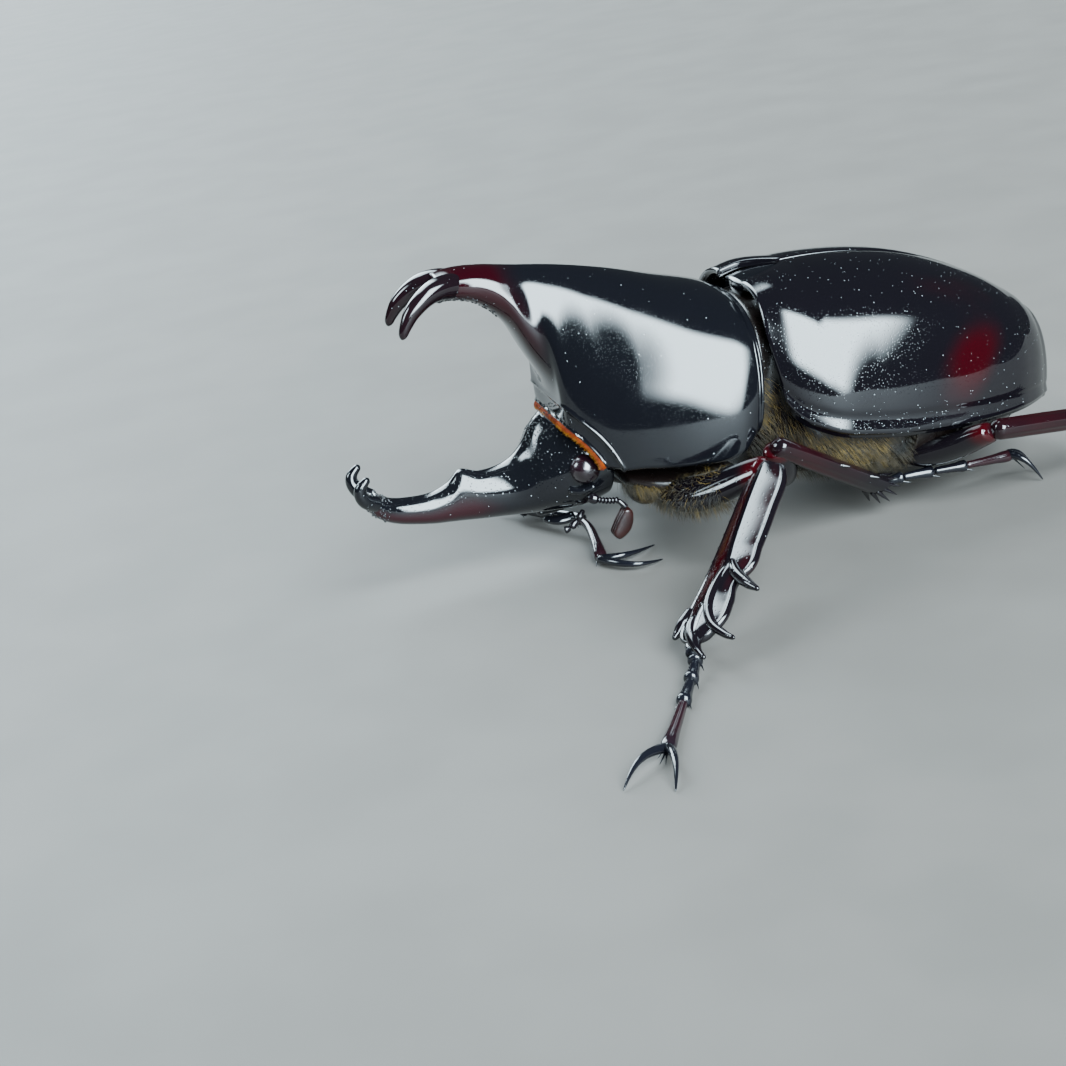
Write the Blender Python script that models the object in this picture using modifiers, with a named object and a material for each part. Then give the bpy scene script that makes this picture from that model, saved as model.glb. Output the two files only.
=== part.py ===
"""A male horned beetle standing on its six feet, life size, as a still museum model.

The body lies along X with the head towards -X, its left side towards -Y and its back up.
Body pieces are drawn along the body's own axis, which is pitched nose up over the floor.
Legs are drawn in the floor's frame, so that every foot rests on the plane z = 0.
Sizes are in millimetres, and MM turns them into metres as each mesh is made.
"""

import math

import bmesh
import bpy
import numpy as np
from mathutils import Vector

MM = 0.001
WELD = 1e-4
GAP = 0.3
BODY_PITCH = math.radians(8.0)
BODY_LIFT = 1.0

# The wing cases: x, highest z at the seam, half width and z of the margin.
WING_SECTIONS = [
    (-1.6, 22.2, 9.7, 14.6),
    (0.8, 23.0, 11.3, 11.4),
    (3.2, 23.4, 12.3, 10.2),
    (8.5, 23.8, 12.9, 9.4),
    (14.5, 23.4, 12.8, 9.4),
    (20.0, 22.0, 11.9, 9.6),
    (25.0, 19.8, 9.7, 9.9),
    (28.0, 17.8, 7.0, 9.9),
    (29.5, 15.9, 5.0, 9.6),
    (30.2, 12.6, 3.2, 9.2),
    (30.9, 9.5, 1.0, 9.0),
]
WING_FRONT = WING_SECTIONS[0][0]
WING_REAR = WING_SECTIONS[-1][0]
WING_WALL = 0.7
WING_ROUNDNESS = 2.35

# Shares of the way across a wing case: where its front edge begins to lean back, and
# where its margin turns under. The lean and the turned part's drop are in millimetres.
SHOULDER = 0.55
SHOULDER_LEAN = 2.1
FOLD = 0.9
FOLD_TUCK = 0.04
FOLD_DROP = 0.6

# The shield and its horn, from the base to the fork: x and z of the lowest and the highest
# point of each section, its half width, the share of its height where it is widest,
# and how full its crown is.
SHIELD_SECTIONS = [
    (-2.4, 8.4, -2.0, 20.9, 10.9, 0.28, 2.3),
    (-4.6, 7.0, -4.5, 22.0, 11.5, 0.12, 2.3),
    (-8.5, 6.6, -9.0, 22.9, 11.0, 0.08, 2.2),
    (-12.8, 6.4, -13.2, 23.8, 9.6, 0.07, 2.0),
    (-16.3, 6.4, -17.0, 24.4, 7.9, 0.07, 1.85),
    (-19.1, 8.6, -19.8, 24.7, 5.7, 0.18, 1.8),
    (-19.6, 13.0, -22.2, 24.85, 3.9, 0.28, 1.9),
    (-21.9, 17.0, -24.1, 25.0, 3.2, 0.42, 2.0),
    (-23.7, 19.8, -25.4, 25.1, 2.7, 0.5, 2.0),
    (-26.0, 21.6, -27.3, 25.1, 2.3, 0.5, 2.1),
    (-28.4, 22.2, -28.7, 24.9, 2.4, 0.5, 2.2),
    (-29.9, 22.1, -30.0, 24.5, 2.6, 0.5, 2.2),
]
LOWER_ROUNDNESS = 0.8
SHIELD_SIDES = 30
SHIELD_RINGS = 21
UPPER_HORN_CUT = (Vector((-22.0, 0.0, 19.0)), Vector((0.985, 0.0, 0.17)))

# The prongs of a fork: the centre line of the one on the right side, its size across
# the beetle and its size along it. The left one is its mirror image.
UPPER_TINE = [
    (-26.2, 0.8, 23.5),
    (-28.4, 1.3, 23.6),
    (-30.0, 1.85, 23.5),
    (-31.3, 2.3, 22.9),
    (-32.5, 2.65, 21.8),
    (-33.2, 2.9, 20.6),
    (-33.6, 3.0, 19.5),
]
UPPER_TINE_BREADTH = [0.8, 1.1, 1.15, 1.05, 0.85, 0.6, 0.35]
UPPER_TINE_THICKNESS = [0.8, 1.15, 1.05, 0.9, 0.75, 0.55, 0.35]
TINE_RINGS = 9

# The opening of the shield that the head fits, as a plane leaning back over the neck.
COLLAR_POINT = Vector((-16.3, 0.0, 7.3))
COLLAR_NORMAL = Vector((0.66, 0.0, 0.75)).normalized()
COLLAR_LIFT = 0.3
COLLAR_THICKNESS = 0.6
COLLAR_HALF_WIDTH = 6.6
COLLAR_HALF_HEIGHT = 2.6
COLLAR_RISE = 2.1
COLLAR_SIDES = 24

HEAD_SECTIONS = [
    (-14.2, 3.0, -14.2, 11.0, 5.3, 0.5, 2.2),
    (-16.5, 2.0, -17.0, 11.6, 5.5, 0.45, 2.1),
    (-18.6, 1.5, -19.3, 11.6, 4.8, 0.4, 1.75),
    (-20.4, 1.35, -21.1, 10.1, 3.8, 0.38, 1.7),
    (-21.8, 1.3, -22.3, 7.8, 2.9, 0.4, 1.8),
    (-23.6, 1.25, -23.8, 6.4, 2.2, 0.45, 1.9),
    (-26.0, 1.2, -26.2, 5.8, 1.7, 0.5, 2.0),
    (-28.0, 1.2, -28.1, 6.15, 1.45, 0.45, 2.0),
    (-29.4, 1.2, -29.4, 4.9, 1.4, 0.5, 2.0),
    (-31.3, 1.25, -31.2, 4.1, 1.35, 0.5, 2.1),
    (-34.2, 1.6, -33.8, 3.95, 1.35, 0.5, 2.1),
    (-36.0, 2.3, -35.2, 4.2, 1.55, 0.5, 2.1),
    (-37.3, 3.4, -36.2, 4.8, 1.8, 0.5, 2.1),
]
HEAD_SIDES = 20
HEAD_RINGS = 24
HEAD_REAR = -14.6
LOWER_HORN_CUT = (Vector((-23.0, 0.0, 4.0)), Vector((1.0, 0.0, 0.0)))
LOWER_TINE = [(-36.2, 1.0, 3.9), (-37.5, 1.8, 4.7), (-37.9, 2.1, 5.8), (-37.1, 2.2, 6.9)]
LOWER_TINE_BREADTH = [0.8, 0.75, 0.6, 0.3]
LOWER_TINE_THICKNESS = [0.8, 0.7, 0.55, 0.3]
EYE_CENTRE = Vector((-17.5, 5.05, 6.5))
EYE_RADIUS = 1.4

# The body under the wing cases: x, lowest z of each section.
BELLY_LINE = [
    (-2.6, 4.4),
    (3.0, 3.6),
    (10.0, 3.7),
    (15.0, 4.2),
    (21.0, 4.9),
    (26.0, 6.2),
    (30.6, 8.6),
]
UNDER_WING = 1.55
UNDER_WING_MIDDLE = 10.0
UNDER_WING_STRETCH = 1.09
WIDEST_LEVEL = 9.4
BODY_SIDES = 24
THORAX_CUT_X = 12.2
PYGIDIUM_CUT = (Vector((27.2, 0.0, 7.0)), Vector((0.86, 0.0, -0.5)).normalized())
BODY_FRONT = -2.6
BODY_FRONT_POINT = Vector((-2.0, 0.0, 8.4))
BODY_FRONT_NORMAL = Vector((0.993, 0.0, -0.119))
SEGMENTS = 6
BODY_REAR = 28.9
SEGMENT_GROOVE = 0.35

BREAST_SECTIONS = [
    (-3.6, 4.6, -3.6, 6.1, 7.6, 0.6, 3.0),
    (-8.0, 3.7, -8.0, 5.9, 8.3, 0.6, 3.0),
    (-11.5, 3.7, -11.5, 5.8, 7.4, 0.6, 3.0),
    (-13.9, 4.4, -13.9, 5.7, 5.6, 0.6, 3.0),
]
BREAST_SIDES = 20
BREAST_RINGS = 7

SCUTELLUM_OUTLINE = [(-0.6, 0.0), (-0.5, 2.3), (0.6, 2.3), (2.0, 1.4), (3.2, 0.0)]
SCUTELLUM_TOP = 22.2
SCUTELLUM_THICKNESS = 1.3
SCUTELLUM_BEVEL = 0.35

# How much farther than the margin a plate's corner moves when the plate grows by it.
CORNER_REACH = 1.6

# The mouth and the feelers of the right side: lines, and the sizes along them.
MANDIBLE = [(-17.6, 1.9, 1.0), (-19.2, 1.8, 0.75), (-20.4, 1.0, 0.7)]
MANDIBLE_BREADTH = [0.75, 0.8, 0.35]
MANDIBLE_THICKNESS = [0.5, 0.45, 0.3]
PALP = [(-17.2, 3.35, 2.0), (-17.8, 3.65, 1.2), (-18.6, 3.8, 0.5), (-19.2, 3.7, 0.3)]
PALP_WIDTH = [0.28, 0.34, 0.34, 0.2]
FEELER_ROOT = (-17.2, 5.9, 3.9)
FEELER_BEND = (-15.1, 7.45, 3.95)
FEELER_SAG = 0.15
FEELER_WIDTH = [0.5, 0.55, 0.5, 0.28, 0.36, 0.26, 0.36, 0.26, 0.36, 0.26, 0.36, 0.28, 0.34]
CLUB_TOP = (-14.45, 7.6, 3.2)
CLUB_WAY = Vector((-1.1, 0.0, -2.65))
CLUB_STEPS = (0, 0.25, 0.6, 0.9, 1.0)
CLUB_BREADTH = [0.35, 0.6, 0.7, 0.5, 0.25]
CLUB_THICKNESS = [0.24, 0.27, 0.27, 0.24, 0.15]
CLUB_LEAVES = 3
CLUB_LEAF_GAP = 0.44
SMALL_SIDES = 8

# Each leg: its hip, the bow of its thigh, its knee, the lower end of its shin, the track of
# its foot, how far inward of the shin the foot starts, and the way its claws point.
LEGS = {
    "front_left": {
        "coxa": (-10.5, -3.5, 6.4),
        "bow": (-7.8, -10.4, 6.9),
        "knee": (-2.9, -16.4, 10.0),
        "ankle": (-16.2, -30.2, 1.9),
        "foot": [(-17.0, -32.0, 1.2), (-19.9, -36.8, 0.5), (-24.0, -44.1, 0.6)],
        "inset": 0.7,
        "claw_aim": (-3.0, -4.4, -0.5),
    },
    "front_right": {
        "coxa": (-10.5, 3.5, 6.4),
        "bow": (-7.0, 10.0, 6.8),
        "knee": (-2.9, 15.6, 9.2),
        "ankle": (-19.4, 13.6, 1.9),
        "foot": [(-19.0, 10.9, 1.4), (-15.4, 3.2, 1.9), (-16.1, -5.0, 0.5)],
        "claw_aim": (5.5, -0.8, -0.3),
        "claw_bow": (-0.4, -1.7, 0.3),
    },
    "middle_left": {
        "coxa": (1.0, -4.5, 4.7),
        "bow": (0.2, -10.2, 6.8),
        "knee": (-0.9, -13.6, 10.6),
        "ankle": (10.2, -9.6, 2.8),
        "foot": [(12.4, -10.0, 3.2), (18.8, -10.3, 2.9), (24.0, -10.0, 2.6)],
        "claw_aim": (3.0, -0.8, -2.5),
    },
    "middle_right": {
        "coxa": (1.0, 4.5, 4.7),
        "bow": (2.2, 10.3, 6.6),
        "knee": (3.0, 14.4, 10.0),
        "ankle": (12.9, 21.4, 2.6),
        "foot": [(14.4, 22.6, 2.4), (19.2, 26.3, 1.8), (23.2, 29.4, 1.6)],
        "claw_aim": (2.6, 1.9, -1.4),
    },
    "hind_left": {
        "coxa": (9.4, -4.0, 3.7),
        "bow": (15.6, -10.0, 4.9),
        "knee": (19.9, -14.8, 7.4),
        "ankle": (34.9, -12.5, 5.0),
        "foot": [(36.9, -12.6, 4.2), (42.8, -13.0, 1.4), (48.2, -13.8, 0.45)],
        "claw_aim": (3.2, -1.0, -0.3),
    },
    "hind_right": {
        "coxa": (9.4, 4.0, 3.7),
        "bow": (15.2, 9.8, 4.4),
        "knee": (19.0, 15.2, 6.8),
        "ankle": (31.2, 24.6, 4.2),
        "foot": [(32.7, 26.1, 3.4), (36.4, 31.0, 1.1), (39.2, 35.6, 0.45)],
        "claw_aim": (1.8, 2.8, -0.3),
    },
}

# Each pair's thigh, broad and thick; its shin, broad at the start and at the end, and thick,
# how early it broadens, and how far it stands out; its foot's radius, and the length of
# its claws.
LEG_SHAPES = {
    "front": {
        "femur": (2.0, 1.3),
        "tibia": (1.4, 2.4, 0.9),
        "growth": 0.25,
        "shift": 0.5,
        "foot": 0.62,
        "claw": 5.8,
    },
    "middle": {
        "femur": (1.65, 1.25),
        "tibia": (1.0, 1.6, 0.95),
        "growth": 0.7,
        "shift": 0.0,
        "foot": 0.55,
        "claw": 3.6,
    },
    "hind": {
        "femur": (2.0, 1.25),
        "tibia": (1.0, 1.75, 1.0),
        "growth": 0.7,
        "shift": 0.0,
        "foot": 0.55,
        "claw": 3.6,
    },
}
COXA_RADIUS = 1.9
COXA_END = 1.3

# Teeth of a front shin: root and tip, each as a share of the shin's length and a distance
# out from its line. The spur is on the inner side.
FRONT_TEETH = [((0.64, 1.2), (0.76, 4.6)), ((0.86, 0.8), (1.01, 4.1)), ((0.95, 0.4), (1.09, 1.9))]
TOOTH_RADIUS = 0.62
TOOTH_BLUNTNESS = 0.35
TOOTH_BOW = 0.25
FRONT_SPUR = ((0.82, -1.6), (0.94, -2.75))
SPUR_RADIUS = 0.35

# Spines of the other shins: the share of the length, and the reach.
SHIN_SPINES = [(0.45, 1.2), (0.72, 1.4)]
SPUR_LENGTH = 2.2
TOE_JOINTS = 4
LIMB_SIDES = 10
TOE_SIDES = 8

SIDES = (("left", -1), ("right", 1))

COLOURS = {
    "shell": ((0.012, 0.004, 0.006), 0.12),
    "underside": ((0.02, 0.008, 0.006), 0.35),
    "leg": ((0.05, 0.006, 0.008), 0.2),
    "eye": ((0.03, 0.012, 0.014), 0.1),
    "membrane": ((0.75, 0.22, 0.03), 0.5),
    "club": ((0.16, 0.03, 0.02), 0.35),
}


def clear_scene():
    for obj in list(bpy.data.objects):
        bpy.data.objects.remove(obj)


def make_empty(name, parent=None):
    empty = bpy.data.objects.new(name, None)
    bpy.context.scene.collection.objects.link(empty)
    empty.parent = parent
    return empty


def material(name):
    found = bpy.data.materials.get(name)
    if found:
        return found
    colour, roughness = COLOURS[name]
    made = bpy.data.materials.new(name)
    made.use_nodes = True
    shader = made.node_tree.nodes["Principled BSDF"]
    shader.inputs["Base Color"].default_value = (*colour, 1.0)
    shader.inputs["Roughness"].default_value = roughness
    shader.inputs["Metallic"].default_value = 0.0
    return made


def smooth(stations, at):
    """A smooth curve through rows of (position, values...), read at one position."""
    rows = np.asarray(stations, float)
    places, values = rows[:, 0], rows[:, 1:]
    slopes = np.gradient(values, places, axis=0)
    i = int(np.clip(np.searchsorted(places, at) - 1, 0, len(places) - 2))
    span = places[i + 1] - places[i]
    t = (at - places[i]) / span
    h00, h10 = 2 * t**3 - 3 * t**2 + 1, t**3 - 2 * t**2 + t
    h01, h11 = -2 * t**3 + 3 * t**2, t**3 - t**2
    return (
        h00 * values[i]
        + h10 * span * slopes[i]
        + h01 * values[i + 1]
        + h11 * span * slopes[i + 1]
    )


def resample(rows, count):
    """The rows of a table of sections, read smoothly at this many even steps."""
    numbered = [(i, *row) for i, row in enumerate(rows)]
    return [smooth(numbered, at) for at in np.linspace(0, len(rows) - 1, count)]


def signed_power(value, power):
    return math.copysign(abs(value) ** power, value)


def shell_ring(section, sides):
    """A closed ring that leans with its section: full above its widest level, flatter below."""
    low_x, low_z, top_x, top_z, half_width, margin, crown = section
    ring = []
    for i in range(sides):
        angle = 2 * math.pi * i / sides
        side, rise = math.cos(angle), math.sin(angle)
        y = half_width * signed_power(side, 2 / crown)
        if rise > 0:
            share = margin + (1 - margin) * rise ** (2 / crown)
        else:
            share = margin - margin * abs(rise) ** LOWER_ROUNDNESS
        ring.append((low_x + (top_x - low_x) * share, y, low_z + (top_z - low_z) * share))
    return ring


def loft(rings):
    """A closed skin over rings of equal length, with a flat cap at each end."""
    bm = bmesh.new()
    loops = [[bm.verts.new(point) for point in ring] for ring in rings]
    for near, far in zip(loops, loops[1:]):
        for i in range(len(near)):
            j = (i + 1) % len(near)
            bm.faces.new((near[i], near[j], far[j], far[i]))
    bm.faces.new(loops[0])
    bm.faces.new(loops[-1])
    bmesh.ops.recalc_face_normals(bm, faces=bm.faces)
    return bm


def limb_rings(path, breadths, thicknesses, broad, sides):
    """Oval rings square to a path, their long way lying along the broad direction."""
    points = [Vector(p) for p in path]
    rings = []
    for i, centre in enumerate(points):
        before, after = points[max(i - 1, 0)], points[min(i + 1, len(points) - 1)]
        along = (after - before).normalized()
        wide = (broad - broad.dot(along) * along).normalized()
        thin = along.cross(wide)
        ring = []
        for k in range(sides):
            angle = 2 * math.pi * k / sides
            reach = wide * breadths[i] * math.cos(angle)
            ring.append(centre + reach + thin * thicknesses[i] * math.sin(angle))
        rings.append(ring)
    return rings


def limb(path, breadths, thicknesses, broad, sides=LIMB_SIDES):
    return loft(limb_rings(path, breadths, thicknesses, broad, sides))


def keep_side(bm, point, normal):
    """Cuts the body with a plane, keeps what lies against the normal, and closes the cut."""
    whole = bm.verts[:] + bm.edges[:] + bm.faces[:]
    cut = bmesh.ops.bisect_plane(
        bm, geom=whole, plane_co=point, plane_no=normal, clear_outer=True, dist=1e-5
    )
    edges = [e for e in cut["geom_cut"] if isinstance(e, bmesh.types.BMEdge)]
    bmesh.ops.holes_fill(bm, edges=edges, sides=0)
    bmesh.ops.recalc_face_normals(bm, faces=bm.faces)
    return bm


def part_in_two(bm, point, normal):
    """The body on each side of a cut, with the gap left between: (behind, ahead)."""
    other = bm.copy()
    behind = keep_side(bm, point - normal * GAP / 2, normal)
    ahead = keep_side(other, point + normal * GAP / 2, -normal)
    return behind, ahead


def add_object(name, bm, finish, parent):
    """The mesh as a named object in its parent's frame, in metres."""
    bmesh.ops.remove_doubles(bm, verts=bm.verts, dist=WELD)
    bmesh.ops.triangulate(bm, faces=bm.faces)
    bmesh.ops.scale(bm, vec=(MM, MM, MM), verts=bm.verts)
    mesh = bpy.data.meshes.new(name)
    bm.to_mesh(mesh)
    bm.free()
    obj = bpy.data.objects.new(name, mesh)
    BEETLE.objects.link(obj)
    obj.parent = parent
    mesh.materials.append(material(finish))
    mesh.shade_smooth()
    return obj


def apply_modifiers(obj):
    bpy.context.view_layer.update()
    evaluated = obj.evaluated_get(bpy.context.evaluated_depsgraph_get())
    mesh = bpy.data.meshes.new_from_object(evaluated)
    obj.modifiers.clear()
    obj.data = mesh


def keep_largest(obj):
    """Keeps the node's largest closed surface and drops what a Boolean left loose."""
    bm = bmesh.new()
    bm.from_mesh(obj.data)
    islands, seen = [], set()
    for start in bm.faces:
        if start in seen:
            continue
        island, waiting = [], [start]
        seen.add(start)
        while waiting:
            face = waiting.pop()
            island.append(face)
            for near in (f for edge in face.edges for f in edge.link_faces):
                if near not in seen:
                    seen.add(near)
                    waiting.append(near)
        islands.append(island)
    islands.sort(key=lambda island: sum(face.calc_area() for face in island))
    loose = [face for island in islands[:-1] for face in island]
    bmesh.ops.delete(bm, geom=loose, context="FACES")
    bm.to_mesh(obj.data)
    bm.free()


def combine(obj, others, operation):
    """One Boolean with a collection of closed pieces, applied, and the pieces removed."""
    group = bpy.data.collections.new(obj.name + "_pieces")
    bpy.context.scene.collection.children.link(group)
    for other in others:
        BEETLE.objects.unlink(other)
        group.objects.link(other)
    modifier = obj.modifiers.new(operation.lower(), "BOOLEAN")
    modifier.operation = operation
    modifier.operand_type = "COLLECTION"
    modifier.collection = group
    modifier.solver = "EXACT"
    apply_modifiers(obj)
    for other in others:
        bpy.data.objects.remove(other)
    bpy.data.collections.remove(group)
    keep_largest(obj)
    return obj


def wing_section(x):
    """Highest z at the seam, half width and z of the margin, across the wing cases at x."""
    top, width, margin = smooth(WING_SECTIONS, min(max(x, WING_FRONT), WING_REAR))
    return float(top), float(width), float(margin)


def wing_point(along, across):
    """A point of the wing case: along from its base to its tip, across from seam to margin."""
    shoulder = max(across - SHOULDER, 0) / (1 - SHOULDER)
    front = WING_FRONT + SHOULDER_LEAN * shoulder**2
    x = front + (WING_REAR - front) * math.sin(along * math.pi / 2)
    top, width, margin = wing_section(x)
    angle = min(across / FOLD, 1.0) * math.pi / 2
    power = 2 / WING_ROUNDNESS
    y = width * math.sin(angle) ** power
    z = margin + (top - margin) * math.cos(angle) ** power
    under = max(across - FOLD, 0) / (1 - FOLD)
    return Vector((x, GAP / 2 + y * (1 - FOLD_TUCK * under), z - FOLD_DROP * under))


def wing_case(name, side):
    bm = bmesh.new()
    bmesh.ops.create_grid(bm, x_segments=17, y_segments=11, size=1.0)
    for vert in bm.verts:
        place = wing_point((vert.co.x + 1) / 2, (vert.co.y + 1) / 2)
        vert.co = Vector((place.x, place.y * side, place.z))
    bmesh.ops.remove_doubles(bm, verts=bm.verts, dist=10 * WELD)
    if side < 0:
        bmesh.ops.reverse_faces(bm, faces=bm.faces)
    bmesh.ops.recalc_face_normals(bm, faces=bm.faces)
    if sum(face.normal.z for face in bm.faces) < 0:
        bmesh.ops.reverse_faces(bm, faces=bm.faces)
    obj = add_object(name, bm, "shell", BODY)
    wall = obj.modifiers.new("wall", "SOLIDIFY")
    wall.thickness = WING_WALL * MM
    wall.offset = -1.0
    wall.use_even_offset = False
    apply_modifiers(obj)
    notch = plate("notch", SCUTELLUM_OUTLINE, GAP, SCUTELLUM_TOP + 3, 8.0)
    return combine(obj, [notch], "DIFFERENCE")


def plate(name, outline, margin, top, thickness):
    """A flat plate from half an outline, mirrored over the midline and grown by a margin."""
    half = [Vector((x, y, 0)) for x, y in outline]
    points = half + [Vector((p.x, -p.y, 0)) for p in reversed(half[1:-1])]
    middle = sum(points, Vector()) / len(points)
    grown = [p + (p - middle).normalized() * margin * CORNER_REACH for p in points]
    rings = [[(p.x, p.y, z) for p in grown] for z in (top - thickness, top)]
    return add_object(name, loft(rings), "shell", BODY)


def scutellum():
    obj = plate("scutellum", SCUTELLUM_OUTLINE, 0.0, SCUTELLUM_TOP, SCUTELLUM_THICKNESS)
    soften = obj.modifiers.new("soften", "BEVEL")
    soften.width = SCUTELLUM_BEVEL * MM
    soften.segments = 2
    return obj


def tine(name, path, breadths, thicknesses, side):
    points = [Vector((x, y * side, z)) for x, y, z in path]
    numbered = [(i, *p) for i, p in enumerate(points)]
    sizes = [(i, b, t) for i, (b, t) in enumerate(zip(breadths, thicknesses))]
    steps = np.linspace(0, len(points) - 1, TINE_RINGS)
    line = [Vector(smooth(numbered, s)) for s in steps]
    grown = [smooth(sizes, s) for s in steps]
    bm = limb(line, [g[0] for g in grown], [g[1] for g in grown], Vector((0, 1, 0)))
    return add_object(name, bm, "shell", BODY)


def fork(base, path, breadths, thicknesses):
    """Fuses the two prongs of a fork on the end of a horn."""
    tines = [tine(f"tine_{name}", path, breadths, thicknesses, side) for name, side in SIDES]
    combine(base, tines, "UNION")


def horned_shield():
    """The thorax shield and its forked horn, made whole and parted by one thin cut."""
    rings = [shell_ring(s, SHIELD_SIDES) for s in resample(SHIELD_SECTIONS, SHIELD_RINGS)]
    whole = keep_side(loft(rings), COLLAR_POINT + COLLAR_NORMAL * COLLAR_LIFT, -COLLAR_NORMAL)
    horn, shield = part_in_two(whole, *UPPER_HORN_CUT)
    add_object("pronotum", shield, "shell", BODY)
    base = add_object("thoracic_horn", horn, "shell", BODY)
    fork(base, UPPER_TINE, UPPER_TINE_BREADTH, UPPER_TINE_THICKNESS)


def ball(name, centre, radius, finish, parent, detail=14):
    bm = bmesh.new()
    bmesh.ops.create_uvsphere(bm, u_segments=detail, v_segments=detail // 2 + 1, radius=radius)
    bmesh.ops.translate(bm, vec=centre, verts=bm.verts)
    return add_object(name, bm, finish, parent)


def mirrored(point, side):
    return Vector((point[0], point[1] * side, point[2]))


def eye_sockets():
    return [
        ball(f"socket_{name}", mirrored(EYE_CENTRE, side), EYE_RADIUS + GAP, "eye", BODY)
        for name, side in SIDES
    ]


def head_and_horn():
    """The head with its forked horn, made whole, parted, and hollowed for the two eyes."""
    rings = [shell_ring(s, HEAD_SIDES) for s in resample(HEAD_SECTIONS, HEAD_RINGS)]
    neck_side = COLLAR_POINT - COLLAR_NORMAL * (COLLAR_THICKNESS + GAP)
    whole = keep_side(loft(rings), neck_side, COLLAR_NORMAL)
    whole = keep_side(whole, Vector((HEAD_REAR, 0, 0)), Vector((1, 0, 0)))
    horn, head = part_in_two(whole, *LOWER_HORN_CUT)
    base = add_object("head_horn", horn, "shell", BODY)
    fork(base, LOWER_TINE, LOWER_TINE_BREADTH, LOWER_TINE_THICKNESS)
    head = add_object("head", head, "shell", BODY)
    combine(head, eye_sockets(), "DIFFERENCE")
    for name, side in SIDES:
        ball(f"eye_{name}", mirrored(EYE_CENTRE, side), EYE_RADIUS, "eye", BODY)


def collar():
    """The soft plate between head and shield, which shows as an orange rim."""
    across = Vector((-COLLAR_NORMAL.z, 0.0, COLLAR_NORMAL.x))
    middle = COLLAR_POINT + across * COLLAR_RISE
    rings = []
    for depth in (0.0, COLLAR_THICKNESS):
        ring = []
        for i in range(COLLAR_SIDES):
            angle = 2 * math.pi * i / COLLAR_SIDES
            reach = Vector((0, COLLAR_HALF_WIDTH * math.cos(angle), 0))
            rise = across * COLLAR_HALF_HEIGHT * math.sin(angle)
            ring.append(middle - COLLAR_NORMAL * depth + reach + rise)
        rings.append(ring)
    plate_object = add_object("neck_collar", loft(rings), "membrane", BODY)
    combine(plate_object, eye_sockets(), "DIFFERENCE")


def inner_section(x, groove):
    """The body's section at x, as far inside the wing cases as their walls and a gap need."""
    lowest = float(smooth(BELLY_LINE, x)[0]) + groove
    stretched = UNDER_WING_MIDDLE + (x - UNDER_WING_MIDDLE) * UNDER_WING_STRETCH
    top, width, margin = wing_section(stretched)
    top, width = top - UNDER_WING, max(width - UNDER_WING, 0.6)
    level = (max(margin, WIDEST_LEVEL) - lowest) / (top - lowest)
    return (x, lowest, x, top, width, min(max(level, 0.2), 0.8), WING_ROUNDNESS)


def trunk():
    """The body under the wing cases, parted into hind thorax, abdomen and tail plate."""
    places = [(x, 0.0) for x in np.linspace(BODY_FRONT, THORAX_CUT_X + 0.4, 8)]
    first = THORAX_CUT_X + 0.6
    length = (BODY_REAR - first) / SEGMENTS
    for segment in range(SEGMENTS):
        for share, groove in ((0.06, SEGMENT_GROOVE), (0.25, 0.05), (0.98, 0.0)):
            places.append((first + (segment + share) * length, groove))
    rings = [shell_ring(inner_section(x, groove), BODY_SIDES) for x, groove in places]
    whole = keep_side(loft(rings), BODY_FRONT_POINT, -BODY_FRONT_NORMAL)
    thorax, rest = part_in_two(whole, Vector((THORAX_CUT_X, 0, 0)), Vector((1, 0, 0)))
    abdomen, tail = part_in_two(rest, *PYGIDIUM_CUT)
    chest = add_object("hind_thorax", thorax, "underside", BODY)
    belly = add_object("abdomen", abdomen, "underside", BODY)
    add_object("pygidium", tail, "shell", BODY)
    seat = plate("seat", SCUTELLUM_OUTLINE, GAP, SCUTELLUM_TOP + 2, SCUTELLUM_THICKNESS + GAP + 2)
    combine(chest, hip_recesses(("middle", "hind")) + [seat], "DIFFERENCE")
    combine(belly, hip_recesses(("hind",)), "DIFFERENCE")


def breastplate():
    rings = [shell_ring(s, BREAST_SIDES) for s in resample(BREAST_SECTIONS, BREAST_RINGS)]
    breast = add_object("prosternum", loft(rings), "underside", BODY)
    combine(breast, hip_recesses(("front",)), "DIFFERENCE")


def hip_recesses(pairs):
    """Room in the body for the hips and for the thighs that lie along it."""
    pieces = []
    for name, leg in LEGS.items():
        pair = name.split("_")[0]
        if pair in pairs:
            hip = ball(f"recess_{name}", Vector(leg["coxa"]), COXA_RADIUS + GAP, "leg", FLOOR, 10)
            thigh = femur_skin(leg, LEG_SHAPES[pair], GAP)
            pieces += [hip, add_object(f"channel_{name}", thigh, "leg", FLOOR)]
    return pieces


def spike(root, tip, radius, sag=(0, 0, 0), sides=5, steps=2, blunt=0.15):
    """A curved, tapering thorn from inside its root to a blunt tip."""
    root, tip, sag = Vector(root), Vector(tip), Vector(sag)
    shares = np.linspace(0, 1, steps + 1)
    line = [root.lerp(tip, t) + sag * math.sin(math.pi * t) for t in shares]
    sizes = [radius * (1 - (1 - blunt) * t**1.3) for t in shares]
    along = (tip - root).normalized()
    side = Vector((0.3, 0.2, 1.0)) if abs(along.z) < 0.8 else Vector((1.0, 0.2, 0.0))
    return limb(line, sizes, sizes, side, sides)


def leg_frame(leg):
    """A leg's coxa, knee and ankle, the way its tibia runs, and out of its bent side."""
    coxa, knee, ankle = (Vector(leg[k]) for k in ("coxa", "knee", "ankle"))
    shin = (ankle - knee).normalized()
    outer = knee - coxa
    outer = (outer - outer.dot(shin) * shin).normalized()
    return coxa, knee, ankle, shin, outer


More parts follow.
